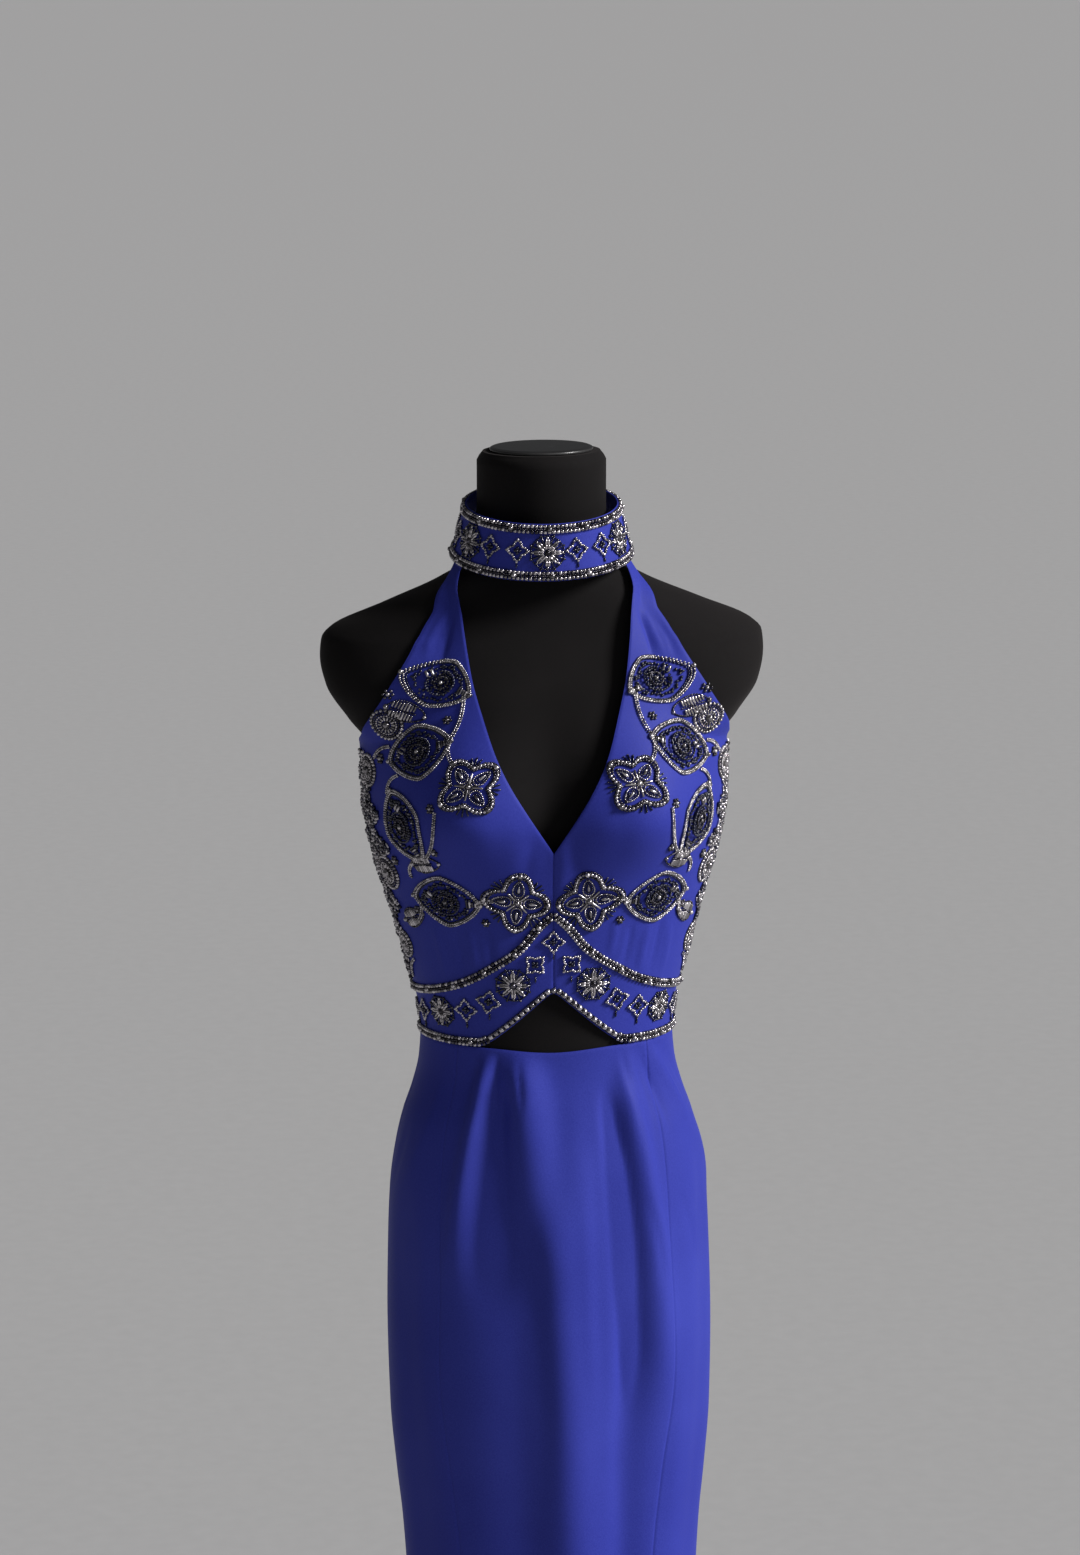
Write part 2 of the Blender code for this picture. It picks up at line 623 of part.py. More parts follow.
def bridge_rings(bm, rings):
    """Faces between rings of points; a ring of one point closes the surface."""
    count = max(len(ring) for ring in rings)
    for low, high in zip(rings, rings[1:]):
        for k in range(count):
            n = (k + 1) % count
            corners = [low[k % len(low)], low[n % len(low)], high[n % len(high)], high[k % len(high)]]
            bm.faces.new(list(dict.fromkeys(corners)))


# Section of the edging, two rows of beads side by side: share of the width, share of the height
EDGING_SECTION = [(-0.5, 0.0), (-0.27, 1.0), (0.0, 0.55), (0.27, 1.0), (0.5, 0.0)]


def edging(name, route, count, finish):
    """Beaded edging: its section carried along a route, which gives a point for each share, offset and height."""
    bm = bmesh.new()
    rings = []
    for share in np.linspace(0, 1, count + 1):
        section = [route(share, across, TRIM_LIFT + BEAD_HEIGHT * height) for across, height in EDGING_SECTION]
        rings.append([bm.verts.new(point) for point in section])
    bridge_rings(bm, rings)
    bm.faces.new(rings[0])
    bm.faces.new(rings[-1])
    bmesh.ops.recalc_face_normals(bm, faces=bm.faces)
    return add_object(name, bm, finish)


def seam_route(height_of, width_of, side):
    """A route along a seam from the centre front to the side seam, its end at the centre cut upright."""
    last = math.pi / 2 - SEAM_INSET

    def route(share, across, height):
        angle = SEAM_INSET + (last - SEAM_INSET) * share
        z = float(height_of(math.degrees(angle)))
        radius = float(dress_radius(angle, z))
        step = 0.01
        rise = float(height_of(math.degrees(angle + step)) - height_of(math.degrees(angle))) / (step * radius)
        length = math.hypot(1, rise)
        ahead, up = 1 / length, rise / length
        # Across the route, leaning to the upright near either end
        lean = float(smoothstep(math.degrees(angle) / 8) * smoothstep((90 - math.degrees(angle)) / 8))
        offset = across * width_of(math.degrees(angle))
        sideways = -up * lean
        upward = ahead + up * up * (1 - lean) / ahead
        there, level = angle + sideways * offset / radius, z + upward * offset
        point = dress_point(there, level) + dress_normal(there, level) * (CLOTH + height)
        return point * np.array([side, 1.0, 1.0])

    return route


def arch_edging_width(angle_deg):
    return EDGING_WIDTH + (ARCH_EDGING_WIDTH - EDGING_WIDTH) * float(smoothstep((46 - angle_deg) / 10))


def lower_edging_line(angle_deg):
    """Middle of the edging on the waistband's lower edge."""
    slope = (waistband_bottom(angle_deg + 0.5) - waistband_bottom(angle_deg)) / math.radians(0.5) / 0.09
    return waistband_bottom(angle_deg) + 0.5 * arch_edging_width(float(angle_deg)) * np.sqrt(1 + slope**2)


def collar_route(rise):
    """A route round the collar, centred at a share of its height."""

    def route(share, across, height):
        angle = math.radians(COLLAR_END_DEG) * (2 * share - 1)
        level = rise + across * EDGING_WIDTH / COLLAR_HEIGHT
        return collar_point(angle, level) + collar_normal(angle, level) * (CLOTH + height)

    return route


def lathe(name, profile, segments, finish, centre_y=0.0):
    """A turned solid from (radius, height) points, listed from the bottom of the axis to its top."""
    bm = bmesh.new()
    rings = []
    for radius, height in profile:
        count = segments if radius else 1
        turns = [2 * math.pi * k / segments for k in range(count)]
        spots = [(radius * math.cos(turn), centre_y + radius * math.sin(turn), height) for turn in turns]
        rings.append([bm.verts.new(spot) for spot in spots])
    bridge_rings(bm, rings)
    return add_object(name, bm, finish)


def box_mesh(low, high):
    """A box between two corners."""
    bm = bmesh.new()
    bmesh.ops.create_cube(bm, size=1.0)
    low, high = Vector(low), Vector(high)
    size = high - low
    scale = Matrix.Diagonal((size.x, size.y, size.z, 1.0))
    bm.transform(Matrix.Translation((low + high) / 2) @ scale)
    return bm


FORM_LEVELS = [0.720, 0.755, 0.800, 0.845, 0.885, 0.920, 0.952, 0.982, 1.008, 1.032, 1.062, 1.096, 1.130, 1.165]
FORM_LEVELS += [1.195, 1.220, 1.243, 1.268, 1.290, 1.306, 1.322, 1.342, 1.365, 1.381, 1.391, 1.403, 1.416, 1.430]
FORM_LEVELS += [1.443, 1.460, 1.495, 1.530, 1.540]
FORM_COLUMNS = 32


def make_form(cover, metal):
    """Covered torso, neck cap, and the stand: flange, pole, foot and base."""
    bm = bmesh.new()
    rings = []
    turn = np.linspace(0, 2 * math.pi, FORM_COLUMNS, endpoint=False)
    angle = np.where(turn > math.pi, turn - 2 * math.pi, turn)
    for z in FORM_LEVELS:
        ring = polar_point(form_radius(angle, z), angle, np.full(FORM_COLUMNS, z))
        rings.append([bm.verts.new(point) for point in ring])
    bridge_rings(bm, rings)
    bm.faces.new(list(reversed(rings[0])))
    bm.faces.new(rings[-1])
    add_object("form_torso", bm, cover)

    top = NECK_TOP_Z + SEAM_GAP
    cap = [(0, top), (0.043, top), (0.044, top + 0.0015), (0.041, top + 0.003), (0, top + 0.0035)]
    lathe("form_neck_cap", cap, 20, metal, centre_y=float(FORM["centre_y"](NECK_TOP_Z)))

    under = FORM_BOTTOM_Z - SEAM_GAP
    flange = [(0, under - FLANGE_HEIGHT), (FLANGE_NECK_RADIUS, under - FLANGE_HEIGHT)]
    flange += [(FLANGE_RADIUS, under - FLANGE_RIM), (FLANGE_RADIUS, under), (0, under)]
    lathe("form_flange", flange, 20, metal)

    low = BASE_THICKNESS + SEAM_GAP
    foot = [(0, low), (FOOT_RADIUS, low), (FOOT_RADIUS, low + FOOT_RIM)]
    foot += [(FOOT_NECK_RADIUS, low + FOOT_HEIGHT), (0, low + FOOT_HEIGHT)]
    lathe("form_foot", foot, 20, metal)

    bottom, top = low + FOOT_HEIGHT + SEAM_GAP, under - FLANGE_HEIGHT - SEAM_GAP
    lathe("form_pole", [(0, bottom), (POLE_RADIUS, bottom), (POLE_RADIUS, top), (0, top)], 20, metal)

    base = [(0, 0), (BASE_RADIUS - 0.003, 0), (BASE_RADIUS, 0.003), (BASE_RADIUS, 0.008)]
    base += [(BASE_RADIUS - 0.005, BASE_THICKNESS), (0, BASE_THICKNESS)]
    lathe("form_base", base, 40, metal)


def make_cloth(cloth):
    """The panels of the dress."""
    panel("skirt_front", skirt_front, 32, 13, cloth)
    panel("collar", collar_surface, 44, 2, cloth)
    upper = back_surface(lambda a: upper_seam(a) + SEAM_GAP / 2, back_top)
    lower = back_surface(waistband_bottom, lambda a: upper_seam(a) - SEAM_GAP / 2)
    for side, word in ((1, "left"), (-1, "right")):
        panel(f"bodice_front_{word}", mirrored(front_surface, side), 12, FRONT_STEPS, cloth)
        panel(f"bodice_back_{word}", mirrored(upper, side), 10, 9, cloth)
        panel(f"waistband_front_{word}", mirrored(waistband_front, side), 12, 5, cloth)
        panel(f"waistband_back_{word}", mirrored(lower, side), 10, 2, cloth)
        panel(f"skirt_back_{word}", skirt_back(side), 15, 13, cloth)


def make_edging(beads):
    """Edging on the collar, on the seam over the waistband and on the waistband's lower edge."""
    half = EDGING_WIDTH / 2 / COLLAR_HEIGHT
    edging("collar_edging_lower", collar_route(half), 44, beads)
    edging("collar_edging_upper", collar_route(1 - half), 44, beads)
    for side, word in ((1, "left"), (-1, "right")):
        edging(f"seam_edging_{word}", seam_route(upper_seam, lambda a: EDGING_WIDTH, side), 22, beads)
        edging(f"waist_edging_{word}", seam_route(lower_edging_line, arch_edging_width, side), 26, beads)


def make_motifs(beads, cloth):
    """Beaded motifs on the bodice, the waistband and the collar, and the collar's two covered buttons."""
    for side, word in ((1, "left"), (-1, "right")):
        for m in BODICE_MOTIFS:
            place = dress_place(m.angle_deg, m.z, m.turn_deg, side)
            plate(f"{m.kind}_{m.word}_{word}", place, m.kind, m.size, beads)
    for word, angle_deg in COLLAR_MOTIF_ANGLES.items():
        plate(f"collar_burst_{word}", collar_place(angle_deg, 0.5), "burst", COLLAR_MOTIF_SIZE, beads)
    for word, rise in BUTTON_RISES.items():
        plate(f"button_{word}", collar_place(BUTTON_DEG, rise), "button", BUTTON_SIZE, cloth)


def zip_chain(across, up):
    z = ZIP_END_Z + 0.002 + (BACK_TOP_Z - 0.0015 - ZIP_END_Z - 0.002) * up
    half = ZIP_CHAIN_HALF / ring_radius(DRESS, math.pi, z)
    return dress_point(math.pi + half * (2 * across - 1), z)


def make_zip(metal):
    """Zip chain, slider with its bridge, and the pull tab that swings on the bridge."""
    panel("zip_chain", zip_chain, 1, 18, metal, thickness=ZIP_CHAIN_THICKNESS)
    middle = BACK_TOP_Z - SLIDER_DROP
    face = float(dress_point(math.pi, middle + SLIDER[2] / 2)[1]) + CLOTH + SEAM_GAP
    front = face + SLIDER[1]
    body = box_mesh((-SLIDER[0] / 2, face, middle - SLIDER[2] / 2), (SLIDER[0] / 2, front, middle + SLIDER[2] / 2))
    bmesh.ops.bevel(body, geom=body.edges, offset=SLIDER_EDGE, segments=1, affect="EDGES")
    slider = add_object("zip_slider", body, metal, smooth=False)

    # The bridge is one outline, extruded across: two feet and a bar over the crossbar of the pull
    inner = BRIDGE_HALF_LENGTH - BRIDGE_THICKNESS
    low, high = -BRIDGE_FOOT, BRIDGE_CLEARANCE
    outline = [(-BRIDGE_HALF_LENGTH, low), (-inner, low), (-inner, high), (inner, high), (inner, low)]
    outline += [(BRIDGE_HALF_LENGTH, low), (BRIDGE_HALF_LENGTH, high + BRIDGE_THICKNESS)]
    outline += [(-BRIDGE_HALF_LENGTH, high + BRIDGE_THICKNESS)]
    bm = bmesh.new()
    sides = [[bm.verts.new((x, front + h, middle + z)) for z, h in outline] for x in (-0.5, 0.5)]
    for ring, x in zip(sides, (-BRIDGE_WIDTH / 2, BRIDGE_WIDTH / 2)):
        for vert in ring:
            vert.co.x = x
        bm.faces.new(ring)
    for k in range(len(outline)):
        n = (k + 1) % len(outline)
        bm.faces.new([sides[0][k], sides[0][n], sides[1][n], sides[1][k]])
    bmesh.ops.recalc_face_normals(bm, faces=bm.faces)
    bridge = add_object("zip_bridge_shape", bm, metal, smooth=False)
    bridge.hide_render = True
    bridge.display_type = "WIRE"
    union = slider.modifiers.new("bridge", "BOOLEAN")
    union.operation = "UNION"
    union.object = bridge

    # The pull's own origin is the hinge axis, along the middle of its crossbar
    axis = Vector((0.0, front + BRIDGE_CLEARANCE / 2, middle - inner + PULL_THICKNESS / 2 + HINGE_PLAY))
    half, thick = PULL_WIDTH / 2, PULL_THICKNESS / 2
    tip = half * PULL_TIP_SHARE
    plate_outline = [(-half, thick), (half, thick), (half, -PULL_SHOULDER)]
    plate_outline += [(tip, -PULL_LENGTH), (-tip, -PULL_LENGTH), (-half, -PULL_SHOULDER)]
    free = BRIDGE_WIDTH / 2 + PULL_WINDOW_PLAY
    window = [(-free, PULL_WINDOW_TOP), (free, PULL_WINDOW_TOP)]
    window += [(free, PULL_WINDOW_LOW), (-free, PULL_WINDOW_LOW)]
    bm = bmesh.new()
    outer = [[bm.verts.new((x, y, z)) for x, z in plate_outline] for y in (-thick, thick)]
    hole = [[bm.verts.new((x, y, z)) for x, z in window] for y in (-thick, thick)]
    # Each face of the plate runs from the outline to the window in four pieces
    pieces = [([0, 1], [1, 0]), ([1, 2], [2, 1]), ([2, 3, 4, 5], [3, 2]), ([5, 0], [0, 3])]
    for level in (0, 1):
        for rim, inside in pieces:
            bm.faces.new([outer[level][k] for k in rim] + [hole[level][k] for k in inside])
    for ring in (outer, hole):
        for k in range(len(ring[0])):
            n = (k + 1) % len(ring[0])
            bm.faces.new([ring[0][k], ring[0][n], ring[1][n], ring[1][k]])
    bmesh.ops.recalc_face_normals(bm, faces=bm.faces)
    pull = add_object("zip_pull", bm, metal, smooth=False)
    pull.location = axis


def main():
    for obj in list(bpy.data.objects):
        bpy.data.objects.remove(obj)
    cloth = material("royal blue crepe", (0.045, 0.055, 0.42), 0.55)
    beads = material("crystal and gunmetal beads", (0.42, 0.41, 0.44), 0.25, 0.6)
    cover = material("black jersey", (0.012, 0.011, 0.012), 0.85)
    lacquer = material("black lacquer", (0.015, 0.015, 0.016), 0.35, 0.4)
    nickel = material("blue painted zip metal", (0.03, 0.04, 0.28), 0.35, 0.7)
    make_form(cover, lacquer)
    make_cloth(cloth)
    make_edging(beads)
    make_motifs(beads, cloth)
    make_zip(nickel)


main()
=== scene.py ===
"""Looks of a halter cocktail dress with beaded edges on a black limbless dress form.

Metres, +Z up. The front faces -Y and the wearer's left is +X.
Angles go round the body from the centre front.
"""

import math
from collections import namedtuple

import bpy
import numpy as np
from mathutils import Matrix, Vector


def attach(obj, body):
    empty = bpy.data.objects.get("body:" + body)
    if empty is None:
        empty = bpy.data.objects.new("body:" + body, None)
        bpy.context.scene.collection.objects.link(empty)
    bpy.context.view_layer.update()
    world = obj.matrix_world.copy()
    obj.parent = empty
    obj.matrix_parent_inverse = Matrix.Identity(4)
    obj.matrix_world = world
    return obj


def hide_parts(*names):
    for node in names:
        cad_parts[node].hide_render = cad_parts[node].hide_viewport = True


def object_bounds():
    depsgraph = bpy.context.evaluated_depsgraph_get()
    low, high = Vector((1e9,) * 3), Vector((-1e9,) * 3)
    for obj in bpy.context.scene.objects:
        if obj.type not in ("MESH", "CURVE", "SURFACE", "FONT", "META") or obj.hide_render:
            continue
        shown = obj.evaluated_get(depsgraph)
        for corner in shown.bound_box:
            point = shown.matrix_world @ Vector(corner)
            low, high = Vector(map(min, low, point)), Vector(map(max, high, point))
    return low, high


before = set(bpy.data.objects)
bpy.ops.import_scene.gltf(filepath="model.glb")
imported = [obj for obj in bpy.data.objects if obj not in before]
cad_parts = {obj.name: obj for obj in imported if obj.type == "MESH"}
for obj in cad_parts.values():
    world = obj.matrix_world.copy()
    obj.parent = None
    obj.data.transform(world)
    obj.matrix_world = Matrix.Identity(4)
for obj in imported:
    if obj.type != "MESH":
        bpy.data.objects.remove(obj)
cad_low, cad_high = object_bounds()

FIXED = "dress_and_form"
SIDES = ((1, "left"), (-1, "right"))


def table(row, *values):
    """Rows with named columns."""
    return [row(*v) for v in values]


# Cloth and seams
CLOTH = 0.0012
SEAM_GAP = 0.0003
SEAM_ROLL = 0.00050
SEAM_ROLL_WIDTH = 0.0013
RIM_BULGE = 0.00013
# Half the gap as an angle, at about this radius
SEAM_RADIUS = 0.1
SEAM_INSET = SEAM_GAP / 2 / SEAM_RADIUS

# Sewn lines of the skirt: the front's share on each side of them, and their relief
SEWN_SHARE = 0.22
SEWN_METRES = 0.35
SEWN_DEPTH = 0.0006
SEWN_WIDTH = 0.0010
HEM_STITCH_DEPTH = 0.00035
HEM_STITCH_WIDTH = 0.0010

# Heights of the dress's seams and edges
HEM_Z = 0.405
HEM_STITCH_Z = 0.430
WAIST_SEAM_Z = 1.0368
SIDE_TOP_Z = 1.2885
BACK_TOP_Z = 1.215
ZIP_END_Z = 0.8925
ZIP_SLOT_HALF = 0.00210
ZIP_SLOT_BELOW = 0.012
ZIP_SLOT_EASE = 0.010
SLIT_TOP_Z = 0.575
SLIT_HALF = 0.0050
SLIT_CURVE = 1.3

# The opening at the waist
OPENING_CORNER_DEG = 38.0
OPENING_RISE = 0.0515
OPENING_CROWN = 1.02
OPENING_DIP = 0.0032
OPENING_ROUNDING = 0.06
OPENING_SOFTNESS = 0.004
OPENING_END_DEG = 60
OPENING_FADE_DEG = 15
EDGING_WIDTH = 0.0086
ARCH_EDGING_WIDTH = 0.0066
ARCH_EDGING_END_DEG = 46
ARCH_EDGING_EASE_DEG = 10

# Dress form
FORM_BOTTOM_Z = 0.720
NECK_TOP_Z = 1.540
POLE_RADIUS = 0.016
BASE_RADIUS = 0.187
BASE_THICKNESS = 0.012

Section = namedtuple("Section", "z half_width front back squareness centre_y", defaults=[0.0])

FORM_SECTIONS = table(
    Section,
    (0.720, 0.1320, 0.0910, 0.1030, 2.3),
    (0.790, 0.1360, 0.0940, 0.1090, 2.3),
    (0.860, 0.1350, 0.0960, 0.1110, 2.3),
    (0.920, 0.1285, 0.0940, 0.1030, 2.3),
    (0.980, 0.1130, 0.0880, 0.0900, 2.2),
    (1.025, 0.1060, 0.0838, 0.0830, 2.2),
    (1.060, 0.1085, 0.0848, 0.0845, 2.2),
    (1.110, 0.1200, 0.0888, 0.0900, 2.2),
    (1.170, 0.1350, 0.0930, 0.0950, 2.2),
    (1.230, 0.1490, 0.0940, 0.0980, 2.2),
    (1.270, 0.1512, 0.0910, 0.0990, 2.2, 0.002),
    (1.290, 0.1522, 0.0880, 0.0985, 2.2, 0.003),
    (1.312, 0.1675, 0.0830, 0.0950, 2.2, 0.004),
    (1.340, 0.1855, 0.0765, 0.0890, 2.2, 0.005),
    (1.365, 0.1905, 0.0680, 0.0810, 2.2, 0.006),
    (1.381, 0.1890, 0.0610, 0.0740, 2.2, 0.006),
    (1.391, 0.1800, 0.0570, 0.0690, 2.1, 0.006),
    (1.410, 0.1360, 0.0520, 0.0620, 2.0, 0.006),
    (1.430, 0.0890, 0.0500, 0.0580, 2.0, 0.006),
    (1.446, 0.0640, 0.0510, 0.0560, 2.0, 0.005),
    (1.465, 0.0570, 0.0520, 0.0550, 2.0, 0.003),
    (1.500, 0.0550, 0.0530, 0.0530, 2.0, -0.002),
    (1.532, 0.0550, 0.0530, 0.0530, 2.0, -0.006),
    (1.540, 0.0500, 0.0480, 0.0480, 2.0, -0.006),
)

# The surface that the cloth hangs on where it stands clear of the form
DRESS_SECTIONS = table(
    Section,
    (0.405, 0.1215, 0.0880, 0.1000, 2.25),
    (0.480, 0.1240, 0.0900, 0.1035, 2.25),
    (0.553, 0.1272, 0.0925, 0.1070, 2.25),
    (0.596, 0.1300, 0.0940, 0.1090, 2.25),
    (0.640, 0.1345, 0.0957, 0.1112, 2.25),
    (0.700, 0.1392, 0.0977, 0.1140, 2.25),
    (0.775, 0.1405, 0.0990, 0.1160, 2.3),
    (0.852, 0.1388, 0.0990, 0.1150, 2.3),
    (0.900, 0.1362, 0.0977, 0.1090, 2.3),
    (0.935, 0.1310, 0.0955, 0.1030, 2.3),
    (0.962, 0.1245, 0.0930, 0.0970, 2.3),
    (0.985, 0.1165, 0.0900, 0.0920, 2.25),
    (1.012, 0.1098, 0.0862, 0.0865, 2.2),
    (1.036, 0.1080, 0.0850, 0.0840, 2.2),
    (1.060, 0.1098, 0.0866, 0.0855, 2.2),
    (1.095, 0.1180, 0.0905, 0.0895, 2.2),
    (1.148, 0.1315, 0.0960, 0.0950, 2.2),
    (1.201, 0.1470, 0.1000, 0.0985, 2.2),
    (1.236, 0.1532, 0.1010, 0.1000, 2.2),
    (1.262, 0.1545, 0.1000, 0.1000, 2.2),
    (1.290, 0.1560, 0.0970, 0.0995, 2.2),
    (1.330, 0.1500, 0.0900, 0.0940, 2.2),
    (1.370, 0.1290, 0.0840, 0.0870, 2.1),
    (1.410, 0.1000, 0.0775, 0.0790, 2.0),
    (1.450, 0.0760, 0.0720, 0.0720, 2.0),
)

Cup = namedtuple("Cup", "angle_deg width_deg centre_z above below swell")
FORM_CUP = Cup(34.0, 21.0, 1.243, 0.060, 0.044, 0.0340)
DRESS_CUP = Cup(33.0, 25.0, 1.243, 0.066, 0.050, 0.0340)
FORM_BRIDGE = 0.15
DRESS_BRIDGE = 0.22
# The cups' inner slopes meet in a curve about this wide
CUP_MEETING_DEG = 5.0
# Where the cloth leaves the form, the turn between the two is rounded, and creases stop short of the form
ROUNDING = 0.0008
LEAST_CLEARANCE = 0.0002

# The skirt's large folds, as in the solids
Fold = namedtuple("Fold", "top_z bottom_z top_deg bottom_deg width_deg depth")
SKIRT_FOLDS = table(
    Fold,
    (1.036, 0.850, -36.0, -46.0, 4.6, 0.0085),
    (1.010, 0.830, -28.5, -31.0, 8.0, -0.0065),
    (1.040, 0.860, -19.0, -3.0, 13.0, 0.0095),
    (0.920, 0.500, -3.0, 5.0, 13.0, 0.0085),
    (1.020, 0.460, 10.0, 11.0, 12.0, 0.0045),
    (1.010, 0.740, 28.0, 37.0, 5.6, -0.0085),
    (1.036, 0.720, 37.5, 50.0, 6.0, 0.0075),
    (1.030, 0.880, 54.0, 97.0, 7.0, 0.0025),
    (0.960, 0.470, 74.0, 68.0, 6.0, -0.0025),
    (0.820, 0.450, 36.0, 33.0, 8.0, -0.0045),
    (0.930, 0.450, -70.0, -66.0, 8.0, -0.0030),
    (0.900, 0.430, 118.0, 122.0, 10.0, -0.0055),
    (0.900, 0.430, -120.0, -118.0, 10.0, -0.0050),
    (0.860, 0.420, 148.0, 150.0, 9.0, 0.0045),
    (0.860, 0.420, -150.0, -148.0, 9.0, 0.0045),
)

# A fold's width at its top as a share, how much it widens, and the shares of its length over which it fades
FOLD_TOP_WIDTH = 0.7
FOLD_WIDENING = 0.6
FOLD_RISE = 0.18
FOLD_END = 1.25
FOLD_FADE = 0.6

# Listed creases: from one point to another, how far the middle bows sideways, half-width and depth
Crease = namedtuple("Crease", "deg_a z_a deg_b z_b bow width depth")
CREASES = table(
    Crease,
    # Skirt front, under the ends of the opening and along the hips
    (-34.0, 1.030, -40.0, 0.960, 1.5, 0.0035, 0.0011),
    (-30.5, 1.026, -30.0, 0.975, -1.0, 0.0030, -0.0014),
    (-43.0, 1.030, -52.0, 0.965, 2.0, 0.0040, -0.0009),
    (-19.5, 1.024, -16.5, 0.985, 1.0, 0.0032, -0.0016),
    (-49.0, 0.900, -56.0, 0.760, -2.0, 0.0080, -0.0010),
    (-60.0, 1.010, -74.0, 0.900, 3.0, 0.0070, 0.0010),
    (-12.0, 0.860, -6.0, 0.640, 2.5, 0.0110, -0.0012),
    (14.0, 0.930, 18.0, 0.700, -1.5, 0.0080, 0.0009),
    (38.0, 1.028, 41.0, 0.940, 1.0, 0.0030, -0.0012),
    (41.0, 1.030, 47.0, 0.960, 1.5, 0.0032, 0.0010),
    (47.0, 1.031, 58.0, 0.955, 2.0, 0.0034, -0.0016),
    (53.0, 1.031, 71.0, 0.962, 3.0, 0.0038, 0.0019),
    (60.0, 1.031, 80.0, 0.985, 2.5, 0.0034, -0.0014),
    (40.5, 0.905, 46.5, 0.820, 2.0, 0.0032, -0.0013),
    (43.5, 0.900, 49.0, 0.835, 1.5, 0.0045, 0.0009),
    (58.0, 0.900, 66.0, 0.840, 2.0, 0.0040, -0.0009),
    (33.0, 0.800, 30.0, 0.610, -2.0, 0.0090, -0.0011),
    (60.0, 0.780, 56.0, 0.560, -1.5, 0.0080, 0.0009),
    (-75.0, 0.960, -86.0, 0.890, 1.5, 0.0050, -0.0008),
    (-58.0, 0.720, -50.0, 0.520, 2.0, 0.0090, 0.0009),
    # Skirt back
    (100.0, 1.028, 112.0, 0.960, 2.0, 0.0042, -0.0010),
    (110.0, 1.028, 126.0, 0.975, 2.5, 0.0040, 0.0009),
    (166.0, 0.900, 158.0, 0.820, -2.0, 0.0048, -0.0011),
    (-104.0, 1.028, -117.0, 0.955, 2.5, 0.0042, -0.0010),
    (-114.0, 1.026, -131.0, 0.980, 2.0, 0.0038, 0.0009),
    (-165.0, 0.895, -155.0, 0.805, 2.0, 0.0048, -0.0011),
    (135.0, 0.760, 128.0, 0.600, 2.0, 0.0085, 0.0010),
    (-138.0, 0.740, -129.0, 0.570, -2.0, 0.0085, 0.0010),
    (172.0, 0.640, 165.0, 0.540, 1.5, 0.0060, -0.0009),
    (-171.0, 0.650, -163.0, 0.545, -1.5, 0.0060, -0.0009),
    # Bodice, beside the centre seam
    (4.0, 1.222, 3.6, 1.158, 0.3, 0.0055, 0.0015),
    # Bodice, between the beadwork and the seam over the waistband
    (38.0, 1.145, 35.5, 1.108, 0.8, 0.0030, -0.0014),
    (47.0, 1.144, 44.5, 1.100, -0.8, 0.0034, 0.0019),
    (52.5, 1.150, 50.0, 1.098, 0.8, 0.0030, -0.0016),
    (57.5, 1.140, 57.0, 1.094, 0.8, 0.0032, 0.0015),
    (30.0, 1.150, 28.0, 1.116, 0.8, 0.0030, 0.0012),
    (-33.0, 1.150, -31.0, 1.112, 0.8, 0.0030, -0.0014),
    (-39.5, 1.146, -38.0, 1.104, -0.8, 0.0032, 0.0016),
    (-47.5, 1.140, -45.0, 1.102, 0.8, 0.0030, -0.0014),
    (-56.0, 1.143, -54.0, 1.096, 0.8, 0.0032, 0.0014),
    (8.0, 1.228, 13.5, 1.183, -1.0, 0.0060, -0.0014),
    (-8.0, 1.228, -12.5, 1.185, -1.0, 0.0060, -0.0011),
    (22.0, 1.262, 25.0, 1.200, 1.5, 0.0090, -0.0008),
    (-21.0, 1.258, -24.0, 1.196, 1.5, 0.0090, -0.0007),
    # Straps
    (56.5, 1.404, 54.0, 1.368, 0.8, 0.0028, -0.0014),
    (60.5, 1.410, 57.5, 1.368, -0.6, 0.0028, 0.0014),
    (62.5, 1.398, 60.5, 1.362, 0.6, 0.0026, -0.0012),
    (-57.0, 1.404, -54.5, 1.368, 0.8, 0.0030, -0.0012),
    (-61.5, 1.406, -59.0, 1.370, -0.6, 0.0028, 0.0013),
    # Bodice back
    (112.0, 1.205, 118.0, 1.130, 2.0, 0.0050, -0.0008),
    (-115.0, 1.200, -121.0, 1.135, 2.0, 0.0050, -0.0008),
    (164.0, 1.180, 156.0, 1.125, 2.0, 0.0042, 0.0008),
    (-163.0, 1.176, -154.0, 1.120, -2.0, 0.0042, 0.0008),
)

# Creases are drawn on the cloth unrolled at this radius, and fade by shares of their length
CREASE_RADIUS = 0.115
CREASE_OVERRUN = 0.12
CREASE_RISE = 0.38
CREASE_FADE = 0.52

SeamPoint = namedtuple("SeamPoint", "angle_deg z")
UPPER_SEAM = table(
    SeamPoint,
    (0, 1.1570),
    (7, 1.1465),
    (17, 1.1262),
    (31, 1.1094),
    (46, 1.0945),
    (62, 1.0852),
    (76, 1.0805),
    (90, 1.0785),
    (180, 1.0785),
)

# Sewn line of the skirt front, from the waist to the hem, alike on both sides
SKIRT_SEAM = table(
    SeamPoint,
    (46.0, 0.405),
    (47.7, 0.578),
    (50.2, 0.659),
    (53.2, 0.739),
    (52.2, 0.869),
    (53.4, 0.977),
    (53.0, 1.0370),
)

